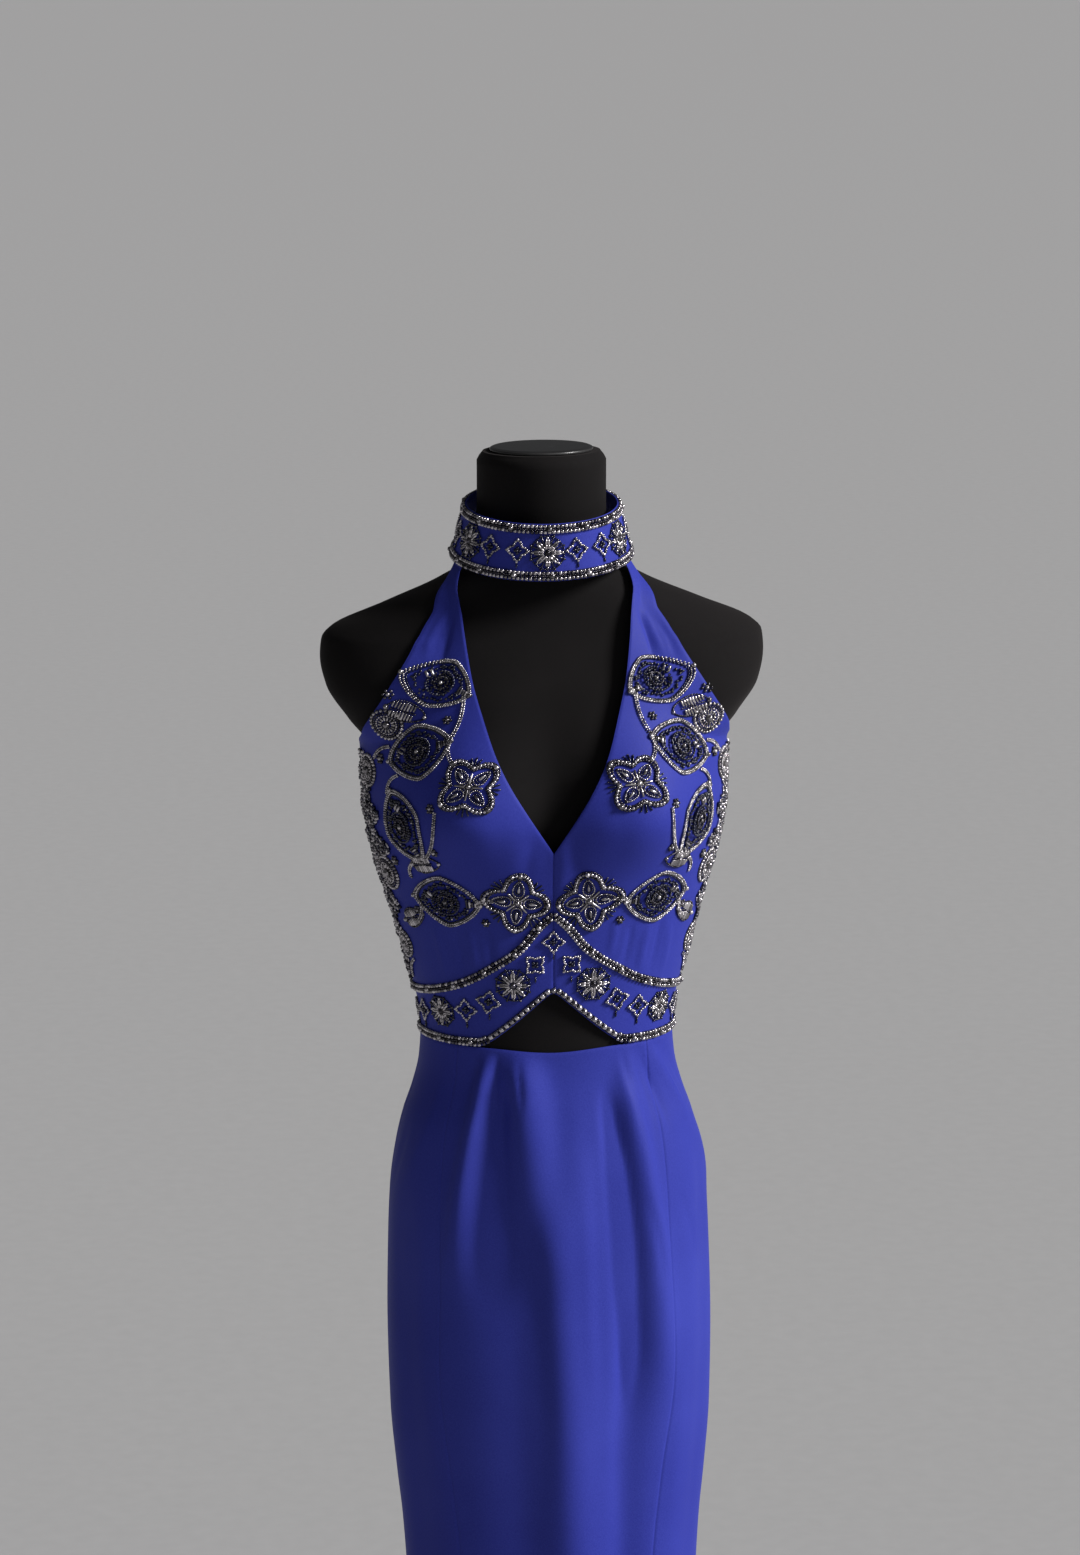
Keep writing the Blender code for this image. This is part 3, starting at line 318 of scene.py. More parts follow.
# Bodice front, in steps from the seam over the waistband to the collar: its inner and outer edge
FrontRow = namedtuple("FrontRow", "step inner_z outer_z outer_deg")
FRONT_STEPS = 22
NECKLINE_STEP = 4
FRONT_ROWS = table(
    FrontRow,
    (0, 1.1570, 1.0785, 90.0),
    (4, 1.2115, 1.1600, 90.0),
    (8, 1.2650, 1.2380, 90.0),
    (11, 1.3060, 1.2885, 90.0),
    (12, 1.3190, 1.3040, 78.0),
    (14, 1.3470, 1.3400, 67.0),
    (16, 1.3750, 1.3740, 64.3),
    (18, 1.4050, 1.4060, 66.0),
    (19, 1.4230, 1.4240, 72.0),
    (20, 1.4420, 1.4455, 86.0),
    (22, 1.4525, 1.4570, 90.0),
)
NECKLINE = table(
    SeamPoint,
    (0.0, 1.2115),
    (5.2, 1.2285),
    (9.8, 1.2446),
    (18.2, 1.2750),
    (26.0, 1.3040),
    (38.0, 1.3500),
    (46.0, 1.3860),
    (56.0, 1.4170),
    (70.0, 1.4400),
)
TUCK_STEP = 20

# Collar, an oval cone: half-widths and half-depths at its lower and upper edges
COLLAR_CENTRE = (0.0, 0.002, 1.449)
COLLAR_LEAN = math.radians(9.5)
COLLAR_WIDE = (0.0757, 0.0640)
COLLAR_DEEP = (0.0725, 0.0620)
COLLAR_HEIGHT = 0.047
COLLAR_END_DEG = 179.75
STRAP_START = -0.06
STRAP_TUCK = 0.15
BUTTON_RISES = {"lower": 0.34, "upper": 0.66}
BUTTON_DEG = -173.5
BUTTON_SIZE = 0.0052

# Beaded motifs, as in the solids: the wearer's left, and its mirror image
Motif = namedtuple("Motif", "kind word angle_deg z turn_deg size")
BODICE_MOTIFS = table(
    Motif,
    ("star", "upper", 31.0, 1.2710, 50.0, 0.0270),
    ("star", "lower", 17.0, 1.1690, 8.0, 0.0275),
    ("leaf", "top", 51.5, 1.3510, 20.0, 0.0275),
    ("leaf", "upper", 53.5, 1.2950, -22.0, 0.0315),
    ("leaf", "middle", 58.0, 1.2320, 62.0, 0.0330),
    ("leaf", "lower", 47.5, 1.1680, 4.0, 0.0305),
    ("rosette", "upper", 66.5, 1.3155, 0.0, 0.0130),
    ("rosette", "middle", 78.0, 1.2720, 0.0, 0.0140),
    ("rosette", "lower", 74.0, 1.1850, 0.0, 0.0155),
    ("rosette", "small", 77.0, 1.1200, 0.0, 0.0120),
    ("burst", "inner", 21.0, 1.0945, 0.0, 0.0135),
    ("burst", "outer", 60.0, 1.0655, 0.0, 0.0125),
)
COLLAR_MOTIF_ANGLES = {"front": 0.0, "left": 62.0, "right": -62.0, "back_left": 124.0, "back_right": -124.0}
COLLAR_MOTIF_SIZE = 0.0135
STAR_DENT = 0.62
STAR_SHARPNESS = 1.5
LEAF_WIDTH = 0.80
LEAF_POINT = 1.45
PETAL_TAPER = 0.25
LOZENGE_DENT = 0.62
LOZENGE_SHARPNESS = 1.6
LOZENGE_SIZE = 0.0082
CENTRE_LOZENGE_Z = 1.1330
COLLAR_LOZENGES_DEG = [20.5, 41.5, 83.0, 103.0, 145.0, 162.0]

# Small beadwork between the motifs
Small = namedtuple("Small", "kind angle_deg z turn_deg size")
SMALL_MOTIFS = table(
    Small,
    ("ladder", 61.5, 1.3275, 196.0, 0.0190),
    ("ladder", 52.5, 1.2010, 172.0, 0.0200),
    ("ladder", 66.0, 1.1480, 160.0, 0.0160),
    ("floret", 66.0, 1.3410, 0.0, 0.0048),
    ("floret", 45.5, 1.3220, 0.0, 0.0044),
    ("floret", 70.0, 1.2850, 0.0, 0.0050),
    ("floret", 43.5, 1.2520, 0.0, 0.0046),
    ("floret", 45.0, 1.2140, 0.0, 0.0044),
    ("floret", 67.0, 1.1985, 0.0, 0.0048),
    ("floret", 32.0, 1.1500, 0.0, 0.0042),
    ("floret", 62.0, 1.1560, 0.0, 0.0044),
    ("lozenge", 9.5, 1.1130, 45.0, 0.0085),
    ("lozenge", 34.0, 1.0790, 12.0, 0.0088),
    ("lozenge", 46.0, 1.0700, 0.0, 0.0086),
    ("lozenge", 74.0, 1.0620, 0.0, 0.0082),
    ("lozenge", 84.0, 1.0600, 0.0, 0.0070),
)

# Strands of beads from motif to motif: both ends, and the bow between them in metres
Strand = namedtuple("Strand", "deg_a z_a deg_b z_b bow")
STRANDS = table(
    Strand,
    (41.5, 1.3440, 42.5, 1.3050, -0.0030),
    (42.0, 1.3020, 37.5, 1.2870, 0.0020),
    (41.5, 1.2500, 49.5, 1.2080, -0.0060),
    (60.5, 1.2740, 66.0, 1.2560, 0.0040),
    (57.0, 1.2000, 60.5, 1.1860, 0.0030),
    (27.5, 1.1700, 34.5, 1.1680, 0.0010),
    (66.0, 1.2960, 73.5, 1.2840, 0.0030),
    (59.5, 1.1600, 67.0, 1.1420, -0.0040),
    (72.0, 1.1080, 78.0, 1.0900, 0.0030),
)
STRAND_HALF = 0.00095
STRAND_PITCH = 0.0020
STRAND_BEAD = 0.0019
STRAND_POINTS = 30

# Encrusted band down the side: middle, half-width in metres
SideRow = namedtuple("SideRow", "z angle_deg half_width")
SIDE_BAND = table(
    SideRow,
    (1.0880, 83.0, 0.0060),
    (1.1060, 82.5, 0.0115),
    (1.1400, 82.0, 0.0150),
    (1.1700, 80.5, 0.0240),
    (1.2100, 79.5, 0.0275),
    (1.2450, 81.0, 0.0225),
    (1.2700, 82.5, 0.0190),
    (1.2860, 82.0, 0.0120),
)
SIDE_PITCH = 0.0032
SIDE_SHAKE = 0.0007
# The band's width swings about its full share, in waves up its height
SIDE_FULL = 0.82
SIDE_SWING = 0.30
SIDE_WAVES = 230
SIDE_SIZES = (0.9, 1.2)
SIDE_HEIGHT = 0.85
SIDE_RADIUS_DEG = 85
SCALLOP = 0.040
SCALLOP_START_DEG = 89.0
SCALLOP_REACH_DEG = 5.0
# A middling radius of the bodice, and the share of a rise that shows in height
BODICE_RADIUS = 0.150
BODICE_UPRIGHT = 0.97
MOTIF_ROOM = 1.09

# Edging: its stones' pitch, their rows and sizes as shares of its width and pitch, and where it ends
EDGING_PITCH = 0.0035
EDGING_SPREAD = 0.27
EDGING_SHAKE = 0.0001
EDGING_TURN = 0.10
EDGING_STONE_LENGTH = 0.90
EDGING_STONE_WIDTH = 0.40
EDGING_SEED_LENGTH = 0.46
EDGING_END = 0.0008
COLLAR_EDGING_END = 0.001
ARCH_EDGING_PITCH = 0.0060
ARCH_SHARE = 0.42
# The waistband's lower edge slopes over this step, at about this radius
SLOPE_STEP_DEG = 0.5
SLOPE_RADIUS = 0.09
# A seam's drawing: its points, where its slope eases off, and the steepest that counts
SEAM_POINTS = 400
SEAM_EASE_DEG = 8
STEEPEST = 0.9

# Beads
CRYSTAL, GUNMETAL, NAVY, METAL = range(4)
BEAD_FLOAT = 0.0001
HEADING_STEP = 0.0006
GEM_HEIGHT = 0.62
GEM_SEAT = 0.0002
CUP_SIZE = 1.04
# A bead's length on a string as a share of the pitch, and how uneven the beads are
STRING_LENGTH = 0.92
STRING_SHAKE = 0.12
UNEVEN_SIZE = 0.5
UNEVEN_LINE = 0.3
UNEVEN_HEIGHT = 0.2
# Packed beads: pitch, shake and flatness of the sequins, rows' distance as a share of the pitch, and turn
SEQUIN_PITCH = 0.0027
SEQUIN_SHAKE = 0.0006
SEQUIN_HEIGHT = 0.8
ROW_SHARE = 0.87
LOOSE_TURN = 3
# Bars side by side: their pitch, the longest one's length and how much shorter the others get
FAN_PITCH = 0.0021
FAN_BAR = 0.0078
FAN_TAPER = 0.55
LADDER_PITCH = 0.0022
LADDER_BAR = 0.0072
LADDER_TAPER = 0.35
LADDER_SPREAD = 0.0040
# The stones round a rosette: how far out, and their pitch
ROSETTE_EDGE = 0.93
ROSETTE_PITCH = 0.0032
# Hanging drops: below their bead, and below a lozenge on the dress and on the collar
DROP_HANG = 0.0030
DROP_BELOW = 0.0032
COLLAR_DROP_BELOW = 0.0008
COLLAR_LOZENGE_RISE = 0.0010
# Points of the outlines that strings of beads follow
RING_POINTS = 60
PETAL_POINTS = 40
STAR_POINTS = 240
LEAF_POINTS = 200
LOZENGE_POINTS = 80

# Steps for a surface's direction: in angle, in height, up the collar and in shares of a panel
ANGLE_STEP = 0.01
HEIGHT_STEP = 0.002
RISE_STEP = 0.02
SHARE_STEP = 1e-3

# Grids lie closer at these distances from an edge, and never closer than the least step
NEAR_EDGE = np.array([0.0006, 0.0013, 0.0024, 0.0040])
LEAST_STEP = 0.0003
WALL_SMOOTH_DEG = 60.0
TURNED_SMOOTH_DEG = 50.0

# Flat size of what shows of each cloth piece, before it was sewn: the cut's width, length and area
Cut = namedtuple("Cut", "width length area")
CUTS = {
    "skirt_front": Cut(0.40, 0.64, 0.236),
    "skirt_back": Cut(0.21, 0.64, 0.122),
    "bodice_front": Cut(0.21, 0.45, 0.050),
    "bodice_back": Cut(0.21, 0.21, 0.0336),
    "waistband_front": Cut(0.16, 0.12, 0.0091),
    "waistband_back": Cut(0.16, 0.045, 0.0066),
    "collar": Cut(0.465, 0.050, 0.0213),
}
# Grid of each: columns and rows, and about how wide and tall the piece is in metres
Grid = namedtuple("Grid", "columns width rows height")
GRIDS = {
    "skirt_front": Grid(142, 0.42, 96, 0.63),
    "skirt_back": Grid(84, 0.20, 96, 0.63),
    "bodice_front": Grid(64, 0.17, 130, 0.36),
    "bodice_back": Grid(56, 0.16, 48, 0.17),
    "waistband_front": Grid(64, 0.15, 22, 0.06),
    "waistband_back": Grid(56, 0.15, 14, 0.042),
    "collar": Grid(156, 0.45, 14, 0.047),
}

# The form's cover: from one height to another in so many rows, and the neck's rounded top
TORSO_ROWS = [(FORM_BOTTOM_Z, 1.29, 70), (1.29, 1.46, 56), (1.46, NECK_TOP_Z, 22)]
TORSO_COLUMNS = 116
NECK_ROUNDING = [0.003, 0.0015]

# The stand's turned parts, from the (radius, height) pairs of their profiles
ON_AXIS = 1e-6
CORNER_SHARE = 0.45
CORNER_STEPS = 4
FLANGE_HEIGHT = 0.026
FOOT_HEIGHT = 0.020
FLANGE_BOTTOM_Z = FORM_BOTTOM_Z - SEAM_GAP - FLANGE_HEIGHT
FOOT_BOTTOM_Z = BASE_THICKNESS + SEAM_GAP
POLE_BOTTOM_Z = FOOT_BOTTOM_Z + FOOT_HEIGHT + SEAM_GAP
POLE_LENGTH = FLANGE_BOTTOM_Z - SEAM_GAP - POLE_BOTTOM_Z
CAP_PROFILE = [(0.044, 0), (0.044, 0.0022), (0.041, 0.0035)]
FLANGE_PROFILE = [(0.022, 0), (0.034, 0.020), (0.034, FLANGE_HEIGHT)]
FOOT_PROFILE = [(0.030, 0), (0.030, 0.005), (0.020, FOOT_HEIGHT)]
POLE_PROFILE = [(POLE_RADIUS, 0), (POLE_RADIUS, POLE_LENGTH)]
BASE_PROFILE = [
    (BASE_RADIUS - 0.003, 0),
    (BASE_RADIUS, 0.003),
    (BASE_RADIUS, 0.008),
    (BASE_RADIUS - 0.005, BASE_THICKNESS),
]
Turned = namedtuple("Turned", "word foot_z profile rounding segments")
STAND = [
    Turned("neck_cap", NECK_TOP_Z + SEAM_GAP, CAP_PROFILE, 0.0009, 64),
    Turned("flange", FLANGE_BOTTOM_Z, FLANGE_PROFILE, 0.0015, 64),
    Turned("foot", FOOT_BOTTOM_Z, FOOT_PROFILE, 0.0015, 64),
    Turned("pole", POLE_BOTTOM_Z, POLE_PROFILE, 0.0010, 48),
    Turned("base", 0, BASE_PROFILE, 0.0022, 128),
]

# How far the cloth keeps from the form, by height
Clearance = namedtuple("Clearance", "z gap")
CLEARANCES = table(
    Clearance,
    (0.72, 0.0015),
    (0.90, 0.0018),
    (1.00, 0.0006),
    (1.10, 0.0008),
    (1.20, 0.0016),
    (1.30, 0.0048),
)


def smooth_curve(xs, ys):
    """A monotone cubic through the points, which reads whole arrays."""
    xs, ys = np.array(xs, float), np.array(ys, float)
    step = np.diff(xs)
    rise = np.diff(ys) / step
    slope = np.zeros(len(xs))
    slope[0], slope[-1] = rise[0], rise[-1]
    for i in range(1, len(xs) - 1):
        if rise[i - 1] * rise[i] > 0:
            before = 2 * step[i] + step[i - 1]
            after = step[i] + 2 * step[i - 1]
            slope[i] = (before + after) / (before / rise[i - 1] + after / rise[i])

    def read(x):
        x = np.clip(x, xs[0], xs[-1])
        i = np.clip(np.searchsorted(xs, x) - 1, 0, len(xs) - 2)
        u = (x - xs[i]) / step[i]
        start = ys[i] * (1 + 2 * u) * (1 - u) ** 2 + step[i] * slope[i] * u * (1 - u) ** 2
        end = ys[i + 1] * u**2 * (3 - 2 * u) - step[i] * slope[i + 1] * u**2 * (1 - u)
        return start + end

    return read


def table_curve(rows, given, wanted):
    """A smooth curve from one column of a table to another."""
    return smooth_curve([getattr(r, given) for r in rows], [getattr(r, wanted) for r in rows])


def section_curves(sections):
    return {name: table_curve(sections, "z", name) for name in Section._fields[1:]}


FORM = section_curves(FORM_SECTIONS)
DRESS = section_curves(DRESS_SECTIONS)
upper_seam = table_curve(UPPER_SEAM, "angle_deg", "z")
skirt_seam_deg = table_curve(SKIRT_SEAM, "z", "angle_deg")
neckline_deg = table_curve(NECKLINE, "z", "angle_deg")
front_inner_z = table_curve(FRONT_ROWS, "step", "inner_z")
front_outer_z = table_curve(FRONT_ROWS, "step", "outer_z")
front_outer_deg = table_curve(FRONT_ROWS, "step", "outer_deg")
clearance = table_curve(CLEARANCES, "z", "gap")


def smoothstep(x):
    x = np.clip(x, 0, 1)
    return x * x * (3 - 2 * x)


def between(low, high, share):
    return low + (high - low) * share


def even_turns(count):
    """Angles spread evenly over a full turn."""
    return np.linspace(0, 2 * math.pi, count, endpoint=False)


# Surfaces: functions of an angle or a share across, and of a height or a share up

def ring_radius(curves, angle, z):
    """Radius of a rounded cross-section."""
    depth = np.where(np.cos(angle) > 0, curves["front"](z), curves["back"](z))
    power = curves["squareness"](z)
    across = np.abs(np.sin(angle)) / curves["half_width"](z)
    along = np.abs(np.cos(angle)) / depth
    return (across**power + along**power) ** (-1 / power)


def cup_swell(cup, angle, z, bridge):
    height = np.where(z > cup.centre_z, cup.above, cup.below)
    upright = np.exp(-(((z - cup.centre_z) / height) ** 2))
    off = (np.hypot(np.degrees(angle), CUP_MEETING_DEG) - cup.angle_deg) / cup.width_deg
    round_side = np.exp(-(off**2))
    return cup.swell * upright * np.where(off < 0, between(bridge, 1, round_side), round_side)


def form_radius(angle, z):
    return ring_radius(FORM, angle, z) + cup_swell(FORM_CUP, angle, z, FORM_BRIDGE)


def fold_depth(angle, z):
    """The skirt's large folds, which widen downwards and fade out at both ends."""
    total = np.zeros(np.broadcast(angle, z).shape)
    for fold in SKIRT_FOLDS:
        along = (fold.top_z - z) / (fold.top_z - fold.bottom_z)
        share = np.clip(along, 0, 1)
        width = fold.width_deg * (FOLD_TOP_WIDTH + FOLD_WIDENING * share)
        off = (np.degrees(angle) - between(fold.top_deg, fold.bottom_deg, share)) / width
        fade = smoothstep(along / FOLD_RISE) * smoothstep((FOLD_END - along) / FOLD_FADE)
        total = total + fold.depth * fade * np.exp(-(off**2))
    return total


def crease_depth(angle, z):
    """Fine creases: soft ridges and troughs along bowed lines on the unrolled cloth."""
    total = np.zeros(np.broadcast(angle, z).shape)
    degree = math.radians(1) * CREASE_RADIUS
    for c in CREASES:
        run, fall = (c.deg_b - c.deg_a) * degree, c.z_b - c.z_a
        length = math.hypot(run, fall)
        u, v = (np.degrees(angle) - c.deg_a) * degree, z - c.z_a
        along = (u * run + v * fall) / length**2
        share = np.clip(along, 0, 1)
        off = (u * -fall + v * run) / length - c.bow * degree * 4 * share * (1 - share)
        start = smoothstep((along + CREASE_OVERRUN) / CREASE_RISE)
        end = smoothstep((1 + CREASE_OVERRUN - along) / CREASE_FADE)
        total = total + c.depth * start * end * np.exp(-((off / c.width) ** 2))
    return total


def dress_radius(angle, z):
    """Radius of the cloth's inner face, with its folds and creases."""
    own = ring_radius(DRESS, angle, z) + cup_swell(DRESS_CUP, angle, z, DRESS_BRIDGE)
    own = own + fold_depth(angle, z)
    form = form_radius(angle, z)
    under_form = np.maximum(FORM_BOTTOM_Z - z, 0)
    least = form + clearance(z) - under_form
    base = 0.5 * (own + least + np.sqrt((own - least) ** 2 + ROUNDING**2))
    return np.maximum(base + crease_depth(angle, z), form + LEAST_CLEARANCE - under_form)


def polar_point(radius, angle, z):
    middle = FORM["centre_y"](z)
    return np.stack([radius * np.sin(angle), middle - radius * np.cos(angle), z + 0 * angle], axis=-1)


def dress_point(angle, z):
    angle, z = np.broadcast_arrays(np.asarray(angle, float), np.asarray(z, float))
    return polar_point(dress_radius(angle, z), angle, z)


def collar_point(angle, rise):
    angle, rise = np.broadcast_arrays(np.asarray(angle, float), np.asarray(rise, float))
    ahead = between(*COLLAR_DEEP, rise) * np.cos(angle)
    up = COLLAR_HEIGHT * rise
    x = between(*COLLAR_WIDE, rise) * np.sin(angle)
    y = -ahead * math.cos(COLLAR_LEAN) - up * math.sin(COLLAR_LEAN)
    z = -ahead * math.sin(COLLAR_LEAN) + up * math.cos(COLLAR_LEAN)
    return np.stack([x, y, z], axis=-1) + np.array(COLLAR_CENTRE)


def outward(surface, a, b, step_a, step_b):
    along = surface(a + step_a, b) - surface(a - step_a, b)
    up = surface(a, b + step_b) - surface(a, b - step_b)
    normal = np.cross(along, up)
    return normal / np.linalg.norm(normal, axis=-1, keepdims=True)


def dress_normal(angle, z):
    return outward(dress_point, angle, z, ANGLE_STEP, HEIGHT_STEP)


def collar_normal(angle, rise):
    return outward(collar_point, angle, rise, ANGLE_STEP, RISE_STEP)


def skirt_top(angle_deg):
    """Upper edge of the skirt, dipped in front under the opening."""
    inside = smoothstep((OPENING_CORNER_DEG - np.abs(angle_deg)) / OPENING_CORNER_DEG)
    return WAIST_SEAM_Z - SEAM_GAP / 2 - OPENING_DIP * inside


def waistband_bottom(angle_deg):
    """Lower edge of the waistband, arched over the opening."""
    off = np.abs(angle_deg)
    share = np.sin(np.radians(np.clip(off, 0, 90))) / math.sin(math.radians(OPENING_CORNER_DEG))
    slope = OPENING_RISE * (OPENING_CROWN - np.sqrt(share**2 + OPENING_ROUNDING**2))
    arch = 0.5 * (slope + np.sqrt(slope**2 + OPENING_SOFTNESS**2))
    fade = smoothstep((OPENING_END_DEG - off) / OPENING_FADE_DEG)
    return WAIST_SEAM_Z + SEAM_GAP / 2 + arch * fade


def back_top(angle_deg):
    return between(SIDE_TOP_Z, BACK_TOP_Z, smoothstep((np.abs(angle_deg) - 90) / 90))


def back_edge_inset(z):
    """Half the gap between the back panels: seam, zip and walking slit."""
    slot = ZIP_SLOT_HALF * smoothstep((z - ZIP_END_Z + ZIP_SLOT_BELOW) / ZIP_SLOT_EASE)
    slit = SLIT_HALF * np.clip((SLIT_TOP_Z - z) / (SLIT_TOP_Z - HEM_Z), 0, 1) ** SLIT_CURVE
    return SEAM_GAP / 2 + slot + slit


def mirrored(surface, side):
    """The same surface, or its mirror image for side -1, still running left to right."""
    if side > 0:
        return lambda across, up: surface(across, up, 1)
    return lambda across, up: surface(1 - across, up, -1)


def front_surface(across, up, side):
    """Bodice front, from the centre front or neckline to the side seam or armhole."""
    step = up * FRONT_STEPS
    inner_z = front_inner_z(step)
    inner_deg = np.where(step > NECKLINE_STEP, neckline_deg(inner_z), 0.0)
    inner = np.radians(inner_deg) + SEAM_INSET
    outer = np.radians(front_outer_deg(step)) - SEAM_INSET
    angle = between(inner, outer, across)
    z = between(inner_z, front_outer_z(step), across)
    seam_line = between(upper_seam(0), upper_seam(90), across)
    follow = np.clip(1 - step / NECKLINE_STEP, 0, 1) ** 2
    z = z + (upper_seam(np.degrees(angle)) - seam_line) * follow + SEAM_GAP / 2
    on_body = dress_point(side * angle, z)
    rise = between(STRAP_START, STRAP_TUCK, (step - TUCK_STEP) / (FRONT_STEPS - TUCK_STEP))
    away = collar_normal(side * angle, rise) * (CLOTH + 2 * SEAM_GAP)
    tucked = collar_point(side * angle, rise) - away
    return between(on_body, tucked, smoothstep(step - TUCK_STEP + 1)[..., None])


def waistband_front(across, up, side):
    angle = SEAM_INSET + (math.pi / 2 - 2 * SEAM_INSET) * across
    low = waistband_bottom(np.degrees(angle))
    high = upper_seam(np.degrees(angle)) - SEAM_GAP / 2
    return dress_point(side * angle, between(low, high, up))


def back_surface(bottom, top):
    """Back cloth from the side seam to the centre back."""

    def surface(across, up, side):
        rough_deg = 90 + 90 * across
        z = between(bottom(rough_deg), top(rough_deg), up)
        first = math.pi / 2 + SEAM_INSET
        last = math.pi - back_edge_inset(z) / ring_radius(DRESS, math.pi, z)
        return dress_point(side * between(first, last, across), z)

    return surface


def skirt_front(across, up):
    """Skirt front, side seam to side seam, with a line of points along each sewn line."""
    seam = skirt_seam_deg(between(HEM_Z, WAIST_SEAM_Z, up))
    side_deg = 90 - math.degrees(SEAM_INSET)
    right = -side_deg + (side_deg - seam) * across / SEWN_SHARE
    left = seam + (side_deg - seam) * (across - 1 + SEWN_SHARE) / SEWN_SHARE
    middle = seam * (2 * (across - SEWN_SHARE) / (1 - 2 * SEWN_SHARE) - 1)
    outside = np.where(across > 1 - SEWN_SHARE, left, middle)
    angle_deg = np.where(across < SEWN_SHARE, right, outside)
    return dress_point(np.radians(angle_deg), between(HEM_Z, skirt_top(angle_deg), up))


def collar_surface(across, up):
    return collar_point(math.radians(COLLAR_END_DEG) * (2 * across - 1), up)


# Meshes

def make_object(name, data):
    obj = bpy.data.objects.new(name, data)
    bpy.context.scene.collection.objects.link(obj)
    return obj


def declare(piece, slot, *nodes):
    """States a piece's body and the solids that it replaces. The slot is not used."""
    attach(piece, FIXED)
    if nodes:
        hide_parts(*nodes)


def add_mesh(name, points, faces, finish, smooth_deg=None):
    """An object from points and faces, smooth where its faces meet at less than an angle."""
    mesh = bpy.data.meshes.new(name)
    mesh.from_pydata([tuple(p) for p in points], [], faces)
    mesh.materials.append(finish)
    mesh.update()
    if smooth_deg:
        mesh.shade_smooth()
        mesh.set_sharp_from_angle(angle=math.radians(smooth_deg))
    return make_object(name, mesh)


def graded(count, length, lines=()):
    """Shares from 0 to 1, closer together at both ends and beside the lines that are named."""
    near = NEAR_EDGE / length
    parts = [np.linspace(0, 1, count + 1), near, 1 - near]
    for line in lines:
        parts += [[line], line - near[:-1], line + near[:-1]]
    shares = np.unique(np.round(np.concatenate(parts), 6))
    keep = [0]
    for k in range(1, len(shares)):
        if shares[k] - shares[keep[-1]] > LEAST_STEP / length or shares[k] in lines:
            keep.append(k)
    shares = shares[keep]
    shares[-1] = 1.0
    return shares


def length_along(grid, axis):
    """How far each point of a grid is from the grid's edge, along the surface."""
    run = np.cumsum(np.linalg.norm(np.diff(grid, axis=axis), axis=2), axis=axis)
    return np.insert(run, 0, 0.0, axis=axis)


def wall(name, inner, outer, finish):
    """A closed cloth wall from two grids, with a rounded rim between them."""
    rows, columns = inner.shape[:2]
    edge = [(0, j) for j in range(columns)]
    edge += [(i, columns - 1) for i in range(1, rows)]
    edge += [(rows - 1, j) for j in range(columns - 2, -1, -1)]
    edge += [(i, 0) for i in range(rows - 2, 0, -1)]
    ei, ej = np.array(edge).T
    middle = (inner + outer) / 2
    away = middle[ei, ej] - middle[np.clip(ei, 1, rows - 2), np.clip(ej, 1, columns - 2)]
    away = away / np.linalg.norm(away, axis=1, keepdims=True)
    rim = middle[ei, ej] + away * RIM_BULGE
    points = np.concatenate([inner.reshape(-1, 3), outer.reshape(-1, 3), rim])

    count = rows * columns
    number = np.arange(count).reshape(rows, columns)
    a, b, c, d = number[:-1, :-1], number[:-1, 1:], number[1:, 1:], number[1:, :-1]
    inside = np.stack([a, d, c, b], -1).reshape(-1, 4)
    outside = np.stack([a, b, c, d], -1).reshape(-1, 4) + count
    here = number[ei, ej]
    following = np.roll(here, -1)
    rim_here = 2 * count + np.arange(len(edge))
    rim_next = np.roll(rim_here, -1)
    lower = np.stack([here, following, rim_next, rim_here], -1)
    upper = np.stack([rim_here, rim_next, following + count, here + count], -1)
    faces = np.concatenate([inside, outside, lower, upper]).tolist()
    piece = add_mesh(name, points, faces, finish, WALL_SMOOTH_DEG)

    across, up = length_along(middle, 1), length_along(middle, 0)
    measure = np.stack([across, up, np.zeros_like(up)], axis=-1)
    values = np.concatenate([measure.reshape(-1, 3)] * 2 + [measure[ei, ej]])
    weave = piece.data.attributes.new("weave", "FLOAT_VECTOR", "POINT")
    weave.data.foreach_set("vector", values.ravel())
    return piece


def cloth(node, surface, finish, lines_across=(), lines_up=(), relief=None):
    """A cloth panel on its solid's form, rolled in a little at its seams."""
    kind = node.removesuffix("_left").removesuffix("_right")
    grid, cut = GRIDS[kind], CUTS[kind]
    across = graded(grid.columns, grid.width, lines_across)
    a, u = np.meshgrid(across, graded(grid.rows, grid.height, lines_up))
    inner = surface(a, u)
    normal = outward(surface, a, u, SHARE_STEP, SHARE_STEP)
    wide = length_along(inner, 1)[:, -1:]
    tall = length_along(inner, 0)[-1:]
    away = np.minimum(np.minimum(a, 1 - a) * wide, np.minimum(u, 1 - u) * tall)
    thick = CLOTH - SEAM_ROLL * np.exp(-((away / SEAM_ROLL_WIDTH) ** 2))
    if relief:
        thick = thick + relief(a, inner[..., 2])
    piece = wall(f"cloth_{node}", inner, inner + normal * thick[..., None], finish)
    declare(piece, "crepe", node)


def hem_relief(_, z):
    """The hem's blind stitching, a faint line round the skirt."""
    return -HEM_STITCH_DEPTH * np.exp(-(((z - HEM_STITCH_Z) / HEM_STITCH_WIDTH) ** 2))


def skirt_front_relief(across, z):
    """The same, and the front's two sewn lines."""
    off = np.minimum(np.abs(across - SEWN_SHARE), np.abs(across - 1 + SEWN_SHARE)) * SEWN_METRES
    return hem_relief(across, z) - SEWN_DEPTH * np.exp(-((off / SEWN_WIDTH) ** 2))


